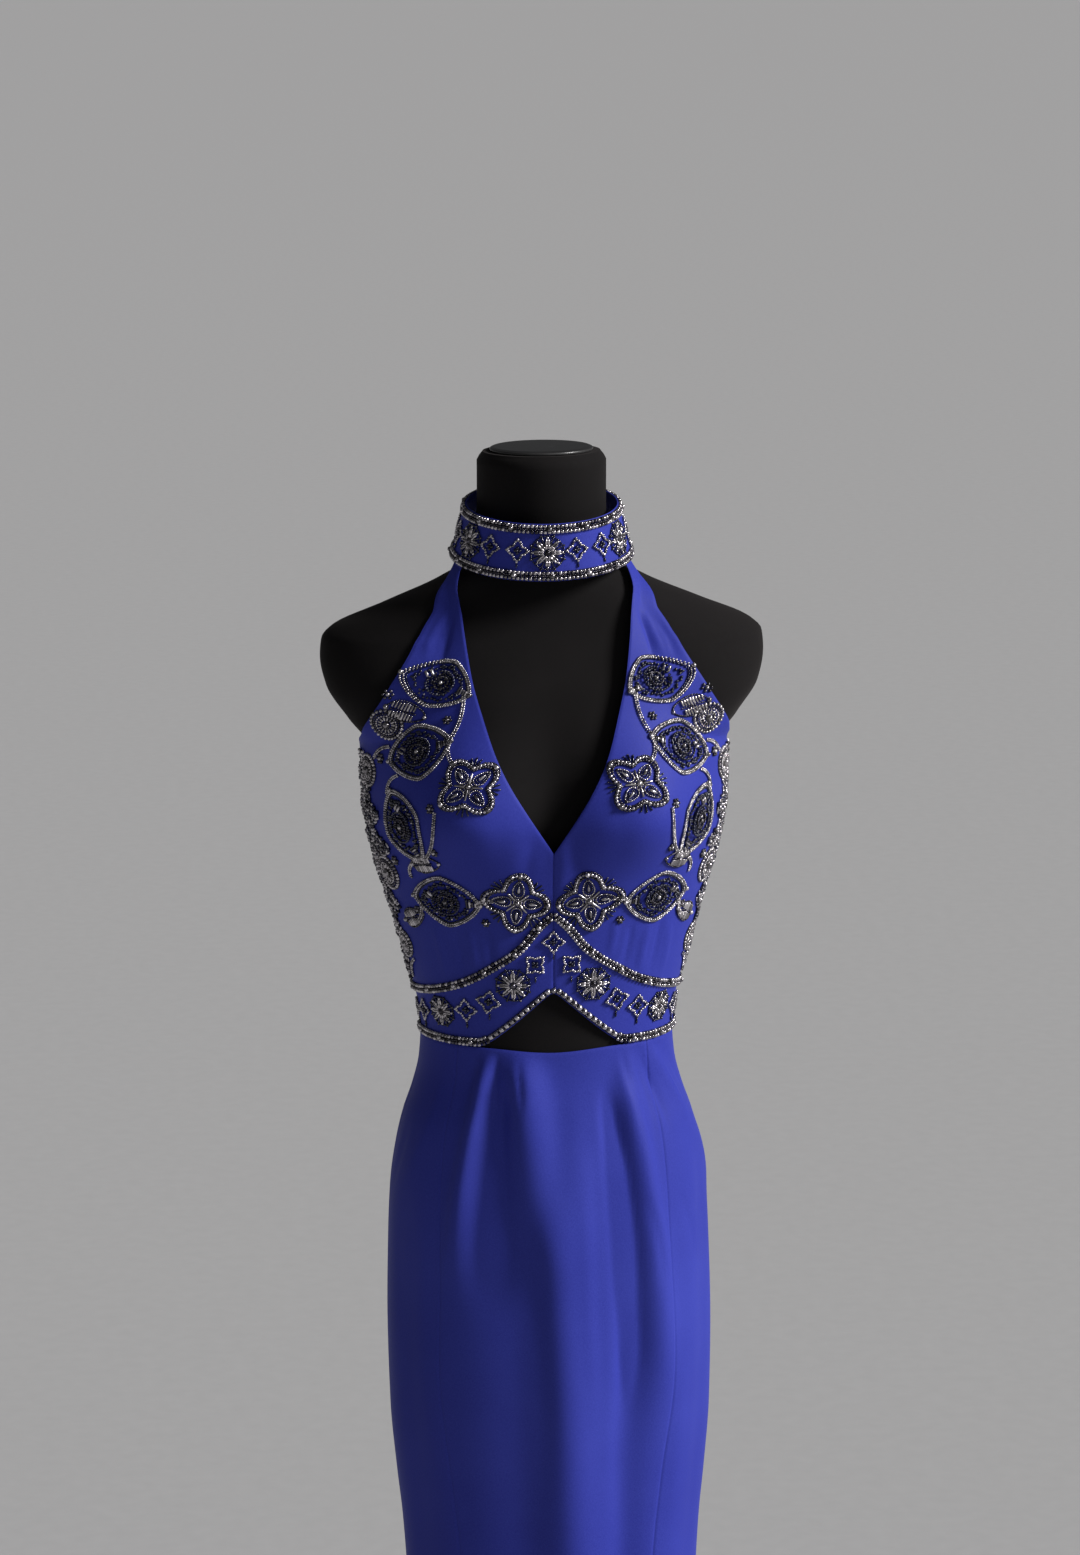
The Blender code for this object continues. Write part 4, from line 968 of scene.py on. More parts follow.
def make_cloth(finish):
    hem = [(HEM_STITCH_Z - HEM_Z) / (WAIST_SEAM_Z - HEM_Z)]
    cloth("skirt_front", skirt_front, finish, [SEWN_SHARE, 1 - SEWN_SHARE], hem, skirt_front_relief)
    cloth("collar", collar_surface, finish)
    panels = {
        "bodice_front": front_surface,
        "bodice_back": back_surface(lambda a: upper_seam(a) + SEAM_GAP / 2, back_top),
        "waistband_front": waistband_front,
        "waistband_back": back_surface(waistband_bottom, lambda a: upper_seam(a) - SEAM_GAP / 2),
    }
    skirt_back = back_surface(lambda a: HEM_Z, skirt_top)
    for side, word in SIDES:
        for kind, surface in panels.items():
            cloth(f"{kind}_{word}", mirrored(surface, side), finish)
        cloth(f"skirt_back_{word}", mirrored(skirt_back, side), finish, (), hem, hem_relief)


def ring_faces(rings, sides):
    """Quads between rings of points that are numbered in turn."""
    faces = []
    for low in range(0, (rings - 1) * sides, sides):
        high = low + sides
        for k in range(sides):
            n = (k + 1) % sides
            faces.append([low + k, low + n, high + n, high + k])
    return faces


def make_torso(finish):
    """The form's cover, smooth and closed, from the underside to the neck's rounded top."""
    spans = [np.linspace(*rows) for rows in TORSO_ROWS]
    levels = np.unique(np.concatenate(spans + [NECK_TOP_Z - np.array(NECK_ROUNDING)]))
    turn = even_turns(TORSO_COLUMNS)
    a, z = np.meshgrid(np.where(turn > math.pi, turn - 2 * math.pi, turn), levels)
    points = polar_point(form_radius(a, z), a, z)
    faces = ring_faces(len(levels), TORSO_COLUMNS)
    faces.append(list(range(TORSO_COLUMNS))[::-1])
    faces.append(list(range(points.size // 3 - TORSO_COLUMNS, points.size // 3)))
    piece = add_mesh("form_cover", points.reshape(-1, 3), faces, finish, TURNED_SMOOTH_DEG)
    declare(piece, "jersey", "form_torso")


def rounded(profile, radius):
    """A profile of (radius, height) points with its inner corners rounded."""
    made = [profile[0]]
    for before, corner, after in zip(profile, profile[1:], profile[2:]):
        corner = np.array(corner, float)
        to_a, to_b = np.array(before) - corner, np.array(after) - corner
        side_a, side_b = np.linalg.norm(to_a), np.linalg.norm(to_b)
        reach = min(radius, side_a * CORNER_SHARE, side_b * CORNER_SHARE)
        start = corner + to_a / side_a * reach
        end = corner + to_b / side_b * reach
        for t in np.linspace(0, 1, CORNER_STEPS + 1):
            made.append(tuple((1 - t) ** 2 * start + 2 * t * (1 - t) * corner + t**2 * end))
    made.append(profile[-1])
    return made


def lathe(name, profile, segments, finish, node, centre_y):
    """A turned piece that replaces a solid, its profile listed from the axis's bottom to its top."""
    points, rings = [], []
    for radius, height in profile:
        start = len(points)
        if radius < ON_AXIS:
            points.append((0.0, centre_y, height))
            rings.append([start] * segments)
        else:
            turns = even_turns(segments)
            points += [(radius * math.cos(t), centre_y + radius * math.sin(t), height) for t in turns]
            rings.append(list(range(start, start + segments)))
    faces = []
    for low, high in zip(rings, rings[1:]):
        for k in range(segments):
            n = (k + 1) % segments
            faces.append(list(dict.fromkeys([low[k], low[n], high[n], high[k]])))
    piece = add_mesh(name, points, faces, finish, TURNED_SMOOTH_DEG)
    declare(piece, "lacquer", node)


def make_stand(finish):
    """Neck cap, flange, pole, foot and base, turned with rounded edges."""
    for part in STAND:
        outline = [(radius, part.foot_z + height) for radius, height in part.profile]
        profile = [(0, outline[0][1]), *outline, (0, outline[-1][1])]
        centre_y = float(FORM["centre_y"](NECK_TOP_Z)) if part.word == "neck_cap" else 0.0
        lathe(f"stand_{part.word}", rounded(profile, part.rounding), part.segments, finish,
              f"form_{part.word}", centre_y)


# Beads: unit shapes, 1 long along x, 1 wide along y and 1 high from z 0

Shape = namedtuple("Shape", "points faces")


def turned_shape(profile, sides):
    """A bead turned about x, from (position, radius) pairs."""
    points = []
    for x, radius in profile:
        for k in range(sides):
            t = 2 * math.pi * (k + 0.5) / sides
            points.append((x, radius * math.cos(t), 0.5 + radius * math.sin(t)))
    faces = [face[::-1] for face in ring_faces(len(profile), sides)]
    faces.append(list(range(sides)))
    faces.append(list(range(len(points) - sides, len(points)))[::-1])
    return Shape(np.array(points), faces)


def cut_shape(outline, levels):
    """A cut stone: at each level (height, share of the outline), closed by a flat table."""
    sides = len(outline)
    points = [(share * x, share * y, height) for height, share in levels for x, y in outline]
    faces = ring_faces(len(levels), sides)
    faces.append(list(range(sides))[::-1])
    faces.append(list(range(len(points) - sides, len(points))))
    return Shape(np.array(points), faces)


def oval_outline(sides, point=0.0):
    """An oval of half-lengths 0.5, drawn to a point at +x by a share."""
    made = []
    for k in range(sides):
        t = 2 * math.pi * k / sides
        x = 0.5 * math.cos(t)
        made.append((x, 0.5 * math.sin(t) * (1 - point * (0.5 + x))))
    return made


SQUARE = [(0.5, -0.32), (0.5, 0.32), (0.32, 0.5), (-0.32, 0.5)]
SQUARE += [(-x, -y) for x, y in SQUARE]
GEM_LEVELS = [(0.0, 0.88), (0.38, 1.0), (0.72, 0.80), (1.0, 0.50)]
SHAPES = {
    "seed": turned_shape([(-0.5, 0.27), (-0.24, 0.5), (0.24, 0.5), (0.5, 0.27)], 6),
    "bugle": turned_shape([(-0.5, 0.36), (-0.42, 0.5), (0.42, 0.5), (0.5, 0.36)], 6),
    "gem": cut_shape(oval_outline(10), GEM_LEVELS),
    "drop": cut_shape(oval_outline(12, 0.75), GEM_LEVELS),
    "square": cut_shape(SQUARE, GEM_LEVELS),
    "cup": cut_shape(oval_outline(10), [(0.0, 1.0), (0.42, 1.12), (0.42, 0.96)]),
}


def turned(u, v, turn):
    """Places on a flat drawing, turned about its middle."""
    return u * math.cos(turn) - v * math.sin(turn), u * math.sin(turn) + v * math.cos(turn)


def spots(reach, turns, u=0.0, v=0.0):
    """Places at a reach from a place, the middle of the drawing if none is named."""
    turns = np.asarray(turns)
    return u + reach * np.cos(turns), v + reach * np.sin(turns)


def walk(points, pitch, closed=False):
    """Evenly spaced places along a line of points, with the line's heading at each."""
    points = np.array(points, float)
    if closed:
        points = np.concatenate([points, points[:1]])
    run = np.diff(points, axis=0)
    passed = np.concatenate([[0], np.cumsum(np.hypot(run[:, 0], run[:, 1]))])
    count = max(2, int(round(passed[-1] / pitch)))
    at = (np.arange(count) + 0.5) * passed[-1] / count
    k = np.clip(np.searchsorted(passed, at) - 1, 0, len(run) - 1)
    u, v = np.interp(at, passed, points[:, 0]), np.interp(at, passed, points[:, 1])
    return u, v, np.arctan2(run[k, 1], run[k, 0])


class Beads:
    """Beads laid out on a flat drawing in metres, then set on the cloth as one mesh."""

    def __init__(self, seed):
        self.rows = []
        self.random = np.random.default_rng(seed)

    def add(self, shape, finish, u, v, heading, length, width, height, lift=0.0):
        values = (u, v, heading, length, width, height, lift, finish)
        arrays = np.broadcast_arrays(*[np.atleast_1d(np.asarray(x, float)) for x in values])
        self.rows.append((shape, np.stack(arrays, axis=-1)))

    def string(self, points, finish, pitch, thick, closed=True, lift=0.0):
        """A string of slightly uneven beads along a line."""
        u, v, heading = walk(points, pitch, closed)
        shake = self.random.uniform(-STRING_SHAKE, STRING_SHAKE, (4, len(u)))
        size = thick * (1 + UNEVEN_SIZE * shake[0])
        self.add("seed", finish, u, v + shake[1] * thick * UNEVEN_LINE, heading + shake[2],
                 pitch * STRING_LENGTH, size, size, lift + np.abs(shake[3]) * thick * UNEVEN_HEIGHT)

    def gem(self, u, v, width, finish=CRYSTAL, lift=0.0, set_in=True):
        """Cut stones, each in a low metal cup."""
        height = width * GEM_HEIGHT
        if set_in:
            self.add("cup", METAL, u, v, 0.0, width * CUP_SIZE, width * CUP_SIZE, height, lift)
        self.add("gem", finish, u, v, 0.0, width, width, height, lift + GEM_SEAT)

    def drop(self, u, v, length, width, finish, heading=0.0, lift=0.0):
        """A cut stone that comes to a point ahead."""
        self.add("drop", finish, u, v, heading, length, width, width * GEM_HEIGHT, lift + GEM_SEAT)

    def ring(self, radius, finish, pitch, thick, lift=0.0):
        line = np.stack(spots(radius, even_turns(RING_POINTS)), axis=-1)
        self.string(line, finish, pitch, thick, lift=lift)

    def rays(self, count, inner, outer, finish, thick, turn=0.0, lift=0.0):
        """Bars that point outwards, from one distance to another."""
        t = turn + even_turns(count)
        self.add("bugle", finish, *spots((inner + outer) / 2, t), t, outer - inner, thick, thick, lift)

    def build(self, name, place, finishes, nodes=(), slot="beads"):
        """The beads as one mesh, each turned to the cloth where it lies."""
        points, loops, totals, kinds, tones = [], [], [], [], []
        start = 0
        for word, shape in SHAPES.items():
            found = [rows for kind, rows in self.rows if kind == word]
            if not found:
                continue
            u, v, heading, length, width, height, lift, finish = np.concatenate(found).T
            at, normal = place(u, v)
            ahead = place(*spots(HEADING_STEP, heading, u, v))[0] - at
            ahead = ahead - normal * (ahead * normal).sum(axis=1, keepdims=True)
            ahead = ahead / np.linalg.norm(ahead, axis=1, keepdims=True)
            beside = np.cross(normal, ahead)
            local = shape.points[None] * np.stack([length, width, height], -1)[:, None, :]
            local[..., 2] += lift[:, None] + BEAD_FLOAT
            made = at[:, None] + local[..., :1] * ahead[:, None] + local[..., 1:2] * beside[:, None]
            made = made + local[..., 2:] * normal[:, None]
            count, n = len(u), len(shape.points)
            points.append(made.reshape(-1, 3))
            flat = np.concatenate([np.array(face) for face in shape.faces])
            loops.append((flat[None] + start + n * np.arange(count)[:, None]).ravel())
            totals.append(np.tile([len(face) for face in shape.faces], count))
            kinds.append(np.repeat(finish.astype(int), len(shape.faces)))
            tones.append(np.repeat(self.random.uniform(0, 1, count), n))
            start += count * n
        parts = (points, loops, totals, kinds, tones)
        points, loops, totals, kinds, tones = [np.concatenate(x) for x in parts]
        starts = np.concatenate([[0], np.cumsum(totals)[:-1]])
        mesh = bpy.data.meshes.new(name)
        mesh.vertices.add(len(points))
        mesh.vertices.foreach_set("co", points.astype(np.float32).ravel())
        mesh.loops.add(len(loops))
        mesh.loops.foreach_set("vertex_index", loops.astype(np.int32))
        mesh.polygons.add(len(totals))
        mesh.polygons.foreach_set("loop_start", starts.astype(np.int32))
        mesh.polygons.foreach_set("loop_total", totals.astype(np.int32))
        for finish in finishes:
            mesh.materials.append(finish)
        mesh.polygons.foreach_set("material_index", kinds.astype(np.int32))
        tone = mesh.attributes.new("tone", "FLOAT", "POINT")
        tone.data.foreach_set("value", tones.astype(np.float32))
        mesh.update(calc_edges=True)
        mesh.validate()
        declare(make_object(name, mesh), slot, *nodes)


# Places: functions that set a flat drawing on a surface, and give the way out from there

def on_dress(angle, z):
    normal = dress_normal(angle, z)
    return dress_point(angle, z) + normal * CLOTH, normal


def dress_place(angle_deg, z, turn_deg, side):
    """On the dress: metres from a point, turned, and mirrored for side -1."""
    angle = math.radians(angle_deg)
    radius = float(dress_radius(angle, z))
    upright = math.sqrt(1 - float(dress_normal(angle, z)[2]) ** 2)

    def place(u, v):
        across, up = turned(u, v, math.radians(turn_deg))
        return on_dress(side * (angle + across / radius), z + up * upright)

    return place


def collar_place(angle_deg, rise):
    """The same on the collar."""
    angle = math.radians(angle_deg)
    radius = between(*COLLAR_WIDE, rise)

    def place(u, v):
        there, level = angle + u / radius, rise + v / COLLAR_HEIGHT
        normal = collar_normal(there, level)
        return collar_point(there, level) + normal * CLOTH, normal

    return place


def seam_place(height_of, side):
    """Along a seam: u runs from the centre front to the side seam, v across it."""
    angle = np.linspace(0, math.pi / 2, SEAM_POINTS)
    angle_deg = np.degrees(angle)
    z = height_of(angle_deg)
    radius = dress_radius(side * angle, z)
    run = np.hypot(np.diff(angle) * (radius[1:] + radius[:-1]) / 2, np.diff(z))
    passed = np.concatenate([[0], np.cumsum(run)])
    ease = smoothstep(angle_deg / SEAM_EASE_DEG) * smoothstep((90 - angle_deg) / SEAM_EASE_DEG)
    slope = np.gradient(z, passed) * ease

    def place(u, v):
        lean = np.interp(u, passed, slope)
        there = np.interp(u, passed, angle) - lean * v / np.interp(u, passed, radius)
        upright = np.sqrt(1 - np.clip(lean, -STEEPEST, STEEPEST) ** 2)
        return on_dress(side * there, np.interp(u, passed, z) + upright * v)

    return place, passed[-1]


def side_place(side):
    """Down the side: v is the height itself, and u is the angle times a middling radius."""
    return lambda u, z: on_dress(side * u / BODICE_RADIUS, z)


def zip_place(u, v):
    """Down the centre back: v is the height, and u metres across it on the cloth's inner face."""
    angle = math.pi + u / ring_radius(DRESS, math.pi, v)
    return dress_point(angle, v), dress_normal(angle, v)


# Motifs, each drawn round the middle of its own drawing, and sizes in metres

Rope = namedtuple("Rope", "share finish pitch thick")
STAR_ROPES = [
    Rope(0.955, CRYSTAL, 0.0030, 0.0029),
    Rope(0.845, GUNMETAL, 0.0024, 0.0023),
    Rope(1.030, GUNMETAL, 0.0019, 0.0015),
]
LEAF_ROPES = [
    Rope(0.985, CRYSTAL, 0.0021, 0.0021),
    Rope(0.915, CRYSTAL, 0.0021, 0.0020),
    Rope(0.855, NAVY, 0.0022, 0.0015),
]
Petal = namedtuple("Petal", "length width at finish pitch thick")
STAR_PETALS = [
    Petal(0.54, 0.42, 0.46, CRYSTAL, 0.0017, 0.0016),
    Petal(0.36, 0.24, 0.46, NAVY, 0.0015, 0.0014),
]
Ring = namedtuple("Ring", "share finish pitch thick lift")
LEAF_RINGS = [
    Ring(0.20, GUNMETAL, 0.0021, 0.0020, 0.0016),
    Ring(0.38, NAVY, 0.0025, 0.0024, 0.0016),
]
ROSETTE_RINGS = [
    Ring(0.74, GUNMETAL, 0.0018, 0.0018, 0.0004),
    Ring(0.60, CRYSTAL, 0.0020, 0.0019, 0.0006),
]
# What fills a leaf's flower and its edge, picked by a number from 0 to 1
LeafFilling = namedtuple("LeafFilling", "low high shape finish width")
LEAF_FILLINGS = [
    LeafFilling(0.00, 0.52, "seed", NAVY, 0.0026),
    LeafFilling(0.52, 0.86, "gem", NAVY, 0.0029),
    LeafFilling(0.86, 0.95, "seed", GUNMETAL, 0.0022),
    LeafFilling(0.95, 1.00, "gem", CRYSTAL, 0.0022),
]
LEAF_FLOWER = 0.37
LEAF_FLOWER_SHAKE = 0.03
LEAF_EDGE = (0.60, 0.75)
LEAF_EDGE_SHAKE = 0.02
# What is packed down the side, picked by a number from 0 to 11
SideFilling = namedtuple("SideFilling", "picks shape finish length width")
SIDE_FILLINGS = [
    SideFilling((0, 1), "gem", CRYSTAL, 0.0034, 0.0034),
    SideFilling((2, 3), "bugle", CRYSTAL, 0.0044, 0.0020),
    SideFilling((4,), "bugle", GUNMETAL, 0.0044, 0.0019),
    SideFilling((5, 6), "seed", GUNMETAL, 0.0025, 0.0025),
    SideFilling((7, 8), "seed", CRYSTAL, 0.0025, 0.0025),
    SideFilling((9, 10), "gem", NAVY, 0.0032, 0.0032),
    SideFilling((11,), "gem", GUNMETAL, 0.0034, 0.0034),
]


def petal_line(length, width, at, turn):
    """A pointed petal's outline, its stem towards the centre of the drawing."""
    t = even_turns(PETAL_POINTS)
    x = at + length / 2 * np.cos(t)
    y = width / 2 * np.sin(t) * (1 - PETAL_TAPER - PETAL_TAPER * np.cos(t))
    return np.stack(turned(x, y, turn), axis=-1)


def star_line(size, share):
    t = even_turns(STAR_POINTS)
    reach = share * size * between(STAR_DENT, 1, np.abs(np.cos(2 * t)) ** STAR_SHARPNESS)
    return np.stack(spots(reach, t), axis=-1)


def star(b, size):
    """Four-pointed star: a heavy outline, four petals with a drop in each, and dark fans in the dents."""
    for rope in STAR_ROPES:
        b.string(star_line(size, rope.share), rope.finish, rope.pitch, rope.thick)
    quarter = even_turns(4)
    dent = quarter + math.pi / 4
    b.gem(*spots(size * 0.95, quarter), 0.0042, lift=0.0012)
    b.gem(*spots(size * 0.60, dent), 0.0034, lift=0.0010)
    for turn in quarter:
        for petal in STAR_PETALS:
            line = petal_line(size * petal.length, size * petal.width, size * petal.at, turn)
            b.string(line, petal.finish, petal.pitch, petal.thick)
        b.drop(*spots(size * 0.47, [turn]), 0.0082, 0.0040, CRYSTAL, turn, 0.0004)
        b.gem(*spots(size * 0.72, [turn]), 0.0026, GUNMETAL)
    b.rays(4, 0.0026, size * 0.44, CRYSTAL, 0.0019, math.pi / 4, 0.0004)
    for spread in (-0.30, 0.30):
        b.rays(4, 0.0034, size * 0.34, GUNMETAL, 0.0014, math.pi / 4 + spread)
    b.ring(0.0031, CRYSTAL, 0.0015, 0.0014)
    b.gem([0.0], [0.0], 0.0044, lift=0.0008)
    for turn in dent:
        for spread in (-0.5, -0.25, 0.0, 0.25, 0.5):
            reach = size * (0.80 - 0.12 * abs(spread))
            bar, seed = spots(reach, turn + spread * 0.55), spots(reach + 0.0034, turn + spread * 0.7)
            b.add("bugle", NAVY, *bar, turn + spread * 1.5, 0.0058, 0.0016, 0.0016)
            b.add("seed", GUNMETAL, *seed, turn, 0.0015, 0.0015, 0.0015)


def leaf_line(size, share):
    t = even_turns(LEAF_POINTS)
    return np.stack(spots(size / leaf_share(1, np.cos(t), np.sin(t)) * share, t), axis=-1)


def leaf_share(size, u, v):
    """How far out a place is in a leaf, 1 on its outline."""
    spread = (np.abs(u) / size) ** LEAF_POINT + (np.abs(v) / size / LEAF_WIDTH) ** LEAF_POINT
    return spread ** (1 / LEAF_POINT)


def leaf(b, size):
    """Leaf: ropes of beads round a flower of dark sequins, and a fan of bars at its stem."""
    for rope in LEAF_ROPES:
        b.string(leaf_line(size, rope.share), rope.finish, rope.pitch, rope.thick)
    b.gem([size * 0.99, -size * 0.99], [0.0, 0.0], 0.0040, lift=0.0008)
    grid = np.arange(-size, size, SEQUIN_PITCH)
    u, v = np.meshgrid(grid, grid)
    u = (u + (np.arange(len(grid))[:, None] % 2) * SEQUIN_PITCH / 2).ravel()
    v = (v * ROW_SHARE).ravel()
    shake = b.random.uniform(-1, 1, (4, len(u)))
    u, v = u + shake[0] * SEQUIN_SHAKE, v + shake[1] * SEQUIN_SHAKE
    share = leaf_share(size, u, v)
    flower = np.hypot(u, v) < size * (LEAF_FLOWER + LEAF_FLOWER_SHAKE * shake[2])
    kept = flower | ((share > LEAF_EDGE[0] + LEAF_EDGE_SHAKE * shake[2]) & (share < LEAF_EDGE[1]))
    u, v, heading = u[kept], v[kept], shake[3][kept] * LOOSE_TURN
    pick = b.random.uniform(0, 1, kept.sum())
    for f in LEAF_FILLINGS:
        mine = (pick >= f.low) & (pick < f.high)
        if mine.any():
            b.add(f.shape, f.finish, u[mine], v[mine], heading[mine], f.width, f.width,
                  f.width * SEQUIN_HEIGHT)
    for ring in LEAF_RINGS:
        b.ring(size * ring.share, ring.finish, ring.pitch, ring.thick, ring.lift)
    b.gem([0.0], [0.0], 0.0036, lift=0.0022)
    squares = [size * 0.40, size * 0.49], [size * 0.20, size * 0.12]
    b.add("square", CRYSTAL, *squares, 0.75, 0.0064, 0.0025, 0.0024, 0.0018)
    b.drop([size * 0.70], [-size * 0.06], 0.0060, 0.0044, NAVY)
    fan(b, -size * 0.72, size * 0.34, math.pi)


def fan(b, u, length, turn):
    """Bars side by side, shorter towards the tip."""
    count = max(3, int(length / FAN_PITCH))
    for k in range(count):
        along = (k + 0.5) / count
        at = spots((along - 0.5) * length, turn, u)
        bar = FAN_BAR * (1 - FAN_TAPER * along)
        b.add("bugle", CRYSTAL if k % 2 else GUNMETAL, *at, turn + math.pi / 2, bar, 0.0020, 0.0020, 0.0003)


def rosette(b, radius):
    """Round rosette: rings of stones and seeds round a large one."""
    reach = radius * ROSETTE_EDGE
    count = int(round(2 * math.pi * reach / ROSETTE_PITCH))
    b.gem(*spots(reach, even_turns(count)), 0.0031)
    for ring in ROSETTE_RINGS:
        b.ring(radius * ring.share, ring.finish, ring.pitch, ring.thick, ring.lift)
    b.rays(14, radius * 0.26, radius * 0.54, CRYSTAL, 0.0017, lift=0.0006)
    b.rays(14, radius * 0.36, radius * 0.52, NAVY, 0.0014, math.pi / 14)
    b.gem([0.0], [0.0], radius * 0.46, lift=0.0008)


def burst(b, radius):
    """Rayed rosette: eight petals of two rows each, dark bars between them and a ring of dark beads."""
    t = even_turns(8)
    for across in (-0.00105, 0.00105):
        for inner, outer in ((0.22, 0.52), (0.50, 0.82)):
            u, v = spots(radius * (inner + outer) / 2, t)
            u, v = u - across * np.sin(t), v + across * np.cos(t)
            b.add("bugle", CRYSTAL, u, v, t, radius * (outer - inner), 0.0021, 0.0021, 0.0003)
    b.add("seed", CRYSTAL, *spots(radius * 0.90, t), t, 0.0024, 0.0024, 0.0024)
    b.rays(8, radius * 0.50, radius * 0.98, NAVY, 0.0018, math.pi / 8)
    b.rays(8, radius * 0.30, radius * 0.50, GUNMETAL, 0.0014, math.pi / 8)
    b.ring(radius * 1.02, NAVY, 0.0021, 0.0016)
    b.add("seed", GUNMETAL, *spots(radius * 1.10, t + math.pi / 8), t, 0.0020, 0.0020, 0.0020)
    b.gem([0.0], [0.0], radius * 0.34, GUNMETAL, lift=0.0007)


def lozenge(b, radius, turn, u=0.0, v=0.0):
    """Four-sided frame of beads with hollow sides round four dark stones."""
    corner = turn + even_turns(4)
    t = even_turns(LOZENGE_POINTS)
    reach = radius * between(LOZENGE_DENT, 1, np.abs(np.cos(2 * (t - turn))) ** LOZENGE_SHARPNESS)
    b.string(np.stack(spots(reach, t, u, v), axis=-1), CRYSTAL, 0.0023, 0.0023)
    b.add("seed", CRYSTAL, *spots(radius * 1.12, corner, u, v), corner, 0.0023, 0.0023, 0.0023)
    b.gem(*spots(radius * 0.25, corner, u, v), radius * 0.38, NAVY, set_in=False)
    b.gem([u], [v], 0.0018, GUNMETAL, lift=0.0014, set_in=False)


def hanging_drop(b, u, v):
    down = -math.pi / 2
    b.add("seed", GUNMETAL, u, v, -down, 0.0017, 0.0017, 0.0017)
    b.drop([u], [v - DROP_HANG], 0.0042, 0.0026, NAVY, down)


def hung_lozenge(b, radius, turn):
    lozenge(b, radius, turn)
    hanging_drop(b, 0.0, -radius - DROP_BELOW)


def floret(b, radius, turn):
    """Six small stones round one."""
    b.gem(*spots(radius * 0.66, turn + even_turns(6)), radius * 0.62, GUNMETAL, set_in=False)
    b.gem([0.0], [0.0], radius * 0.70, CRYSTAL, lift=0.0006)


def ladder(b, length, turn):
    """Two fans of bars back to back in a thin pointed loop, closed by a stone at each end."""
    half = length / 2
    count = int(length / LADDER_PITCH)
    along = (np.arange(count) + 0.5) * LADDER_PITCH - half
    bars = LADDER_BAR * (1 - LADDER_TAPER * np.abs(along) / half)
    for across in (LADDER_SPREAD, -LADDER_SPREAD):
        b.add("bugle", CRYSTAL, *turned(along, across, turn), turn + math.pi / 2, bars, 0.0021, 0.0022)
    ends = [spots(reach, turn) for reach in (-half, half)]
    b.string(ends, GUNMETAL, 0.0018, 0.0015, closed=False)
    loop = petal_line(length * 1.52, 0.0215, length * 0.16, 0.0)
    b.string(np.stack(turned(loop[:, 0], loop[:, 1], turn), axis=-1), GUNMETAL, 0.0018, 0.0017)
    b.gem(*spots(-half - 0.0026, [turn]), 0.0044)
    b.gem(*spots(length * 0.90, [turn]), 0.0034)


# Edging, side bands and strands

def edging_row(b, start, end, width):
    """Edging: two rows of square stones with a line of seeds between them."""
    count = int(round((end - start) / EDGING_PITCH))
    pitch = (end - start) / count
    u = start + (np.arange(count) + 0.5) * pitch
    for across in (-EDGING_SPREAD * width, EDGING_SPREAD * width):
        kind = b.random.integers(0, 5, count)
        shake = b.random.uniform(-1, 1, (2, count))
        for pick, finish, height in ((kind > 0, CRYSTAL, 0.0027), (kind == 0, GUNMETAL, 0.0025)):
            v, heading = across + shake[0][pick] * EDGING_SHAKE, shake[1][pick] * EDGING_TURN
            b.add("square", finish, u[pick], v, heading, pitch * EDGING_STONE_LENGTH,
                  width * EDGING_STONE_WIDTH, height)
    seeds = start + (np.arange(2 * count) + 0.5) * pitch / 2
    b.add("seed", GUNMETAL, seeds, 0.0, 0.0, pitch * EDGING_SEED_LENGTH, 0.0013, 0.0030)
    b.gem(u[4::9], 0.0, 0.0042, lift=0.0016)


def arch_edging_row(b, start, end):
    """Edging over the opening: one row of larger stones, with pairs of seeds between them."""
    count = int(round((end - start) / ARCH_EDGING_PITCH))
    pitch = (end - start) / count
    u = start + (np.arange(count) + 0.5) * pitch
    b.add("square", CRYSTAL, u, 0.0, 0.0, 0.0045, 0.0046, 0.0026, 0.0003)
    b.add("square", METAL, u, 0.0, 0.0, 0.0052, 0.0054, 0.0012)
    for across in (-0.0016, 0.0016):
        b.add("seed", GUNMETAL, u + pitch / 2, across, math.pi / 2, 0.0020, 0.0017, 0.0022)


def arch_edging_width(angle_deg):
    outside = smoothstep((ARCH_EDGING_END_DEG - angle_deg) / ARCH_EDGING_EASE_DEG)
    return between(EDGING_WIDTH, ARCH_EDGING_WIDTH, outside)


def lower_edging_line(angle_deg):
    """Middle of the edging on the waistband's lower edge."""
    low, ahead = waistband_bottom(angle_deg), waistband_bottom(angle_deg + SLOPE_STEP_DEG)
    slope = (ahead - low) / math.radians(SLOPE_STEP_DEG) / SLOPE_RADIUS
    return low + 0.5 * arch_edging_width(angle_deg) * np.sqrt(1 + slope**2)


def waist_edging(b, length, with_centre_stone):
    arch = length * ARCH_SHARE
    arch_edging_row(b, 0.0022, arch)
    if with_centre_stone:
        b.gem([0.0], [0.0], 0.0046, lift=0.0004)
    edging_row(b, arch, length - EDGING_END, EDGING_WIDTH)


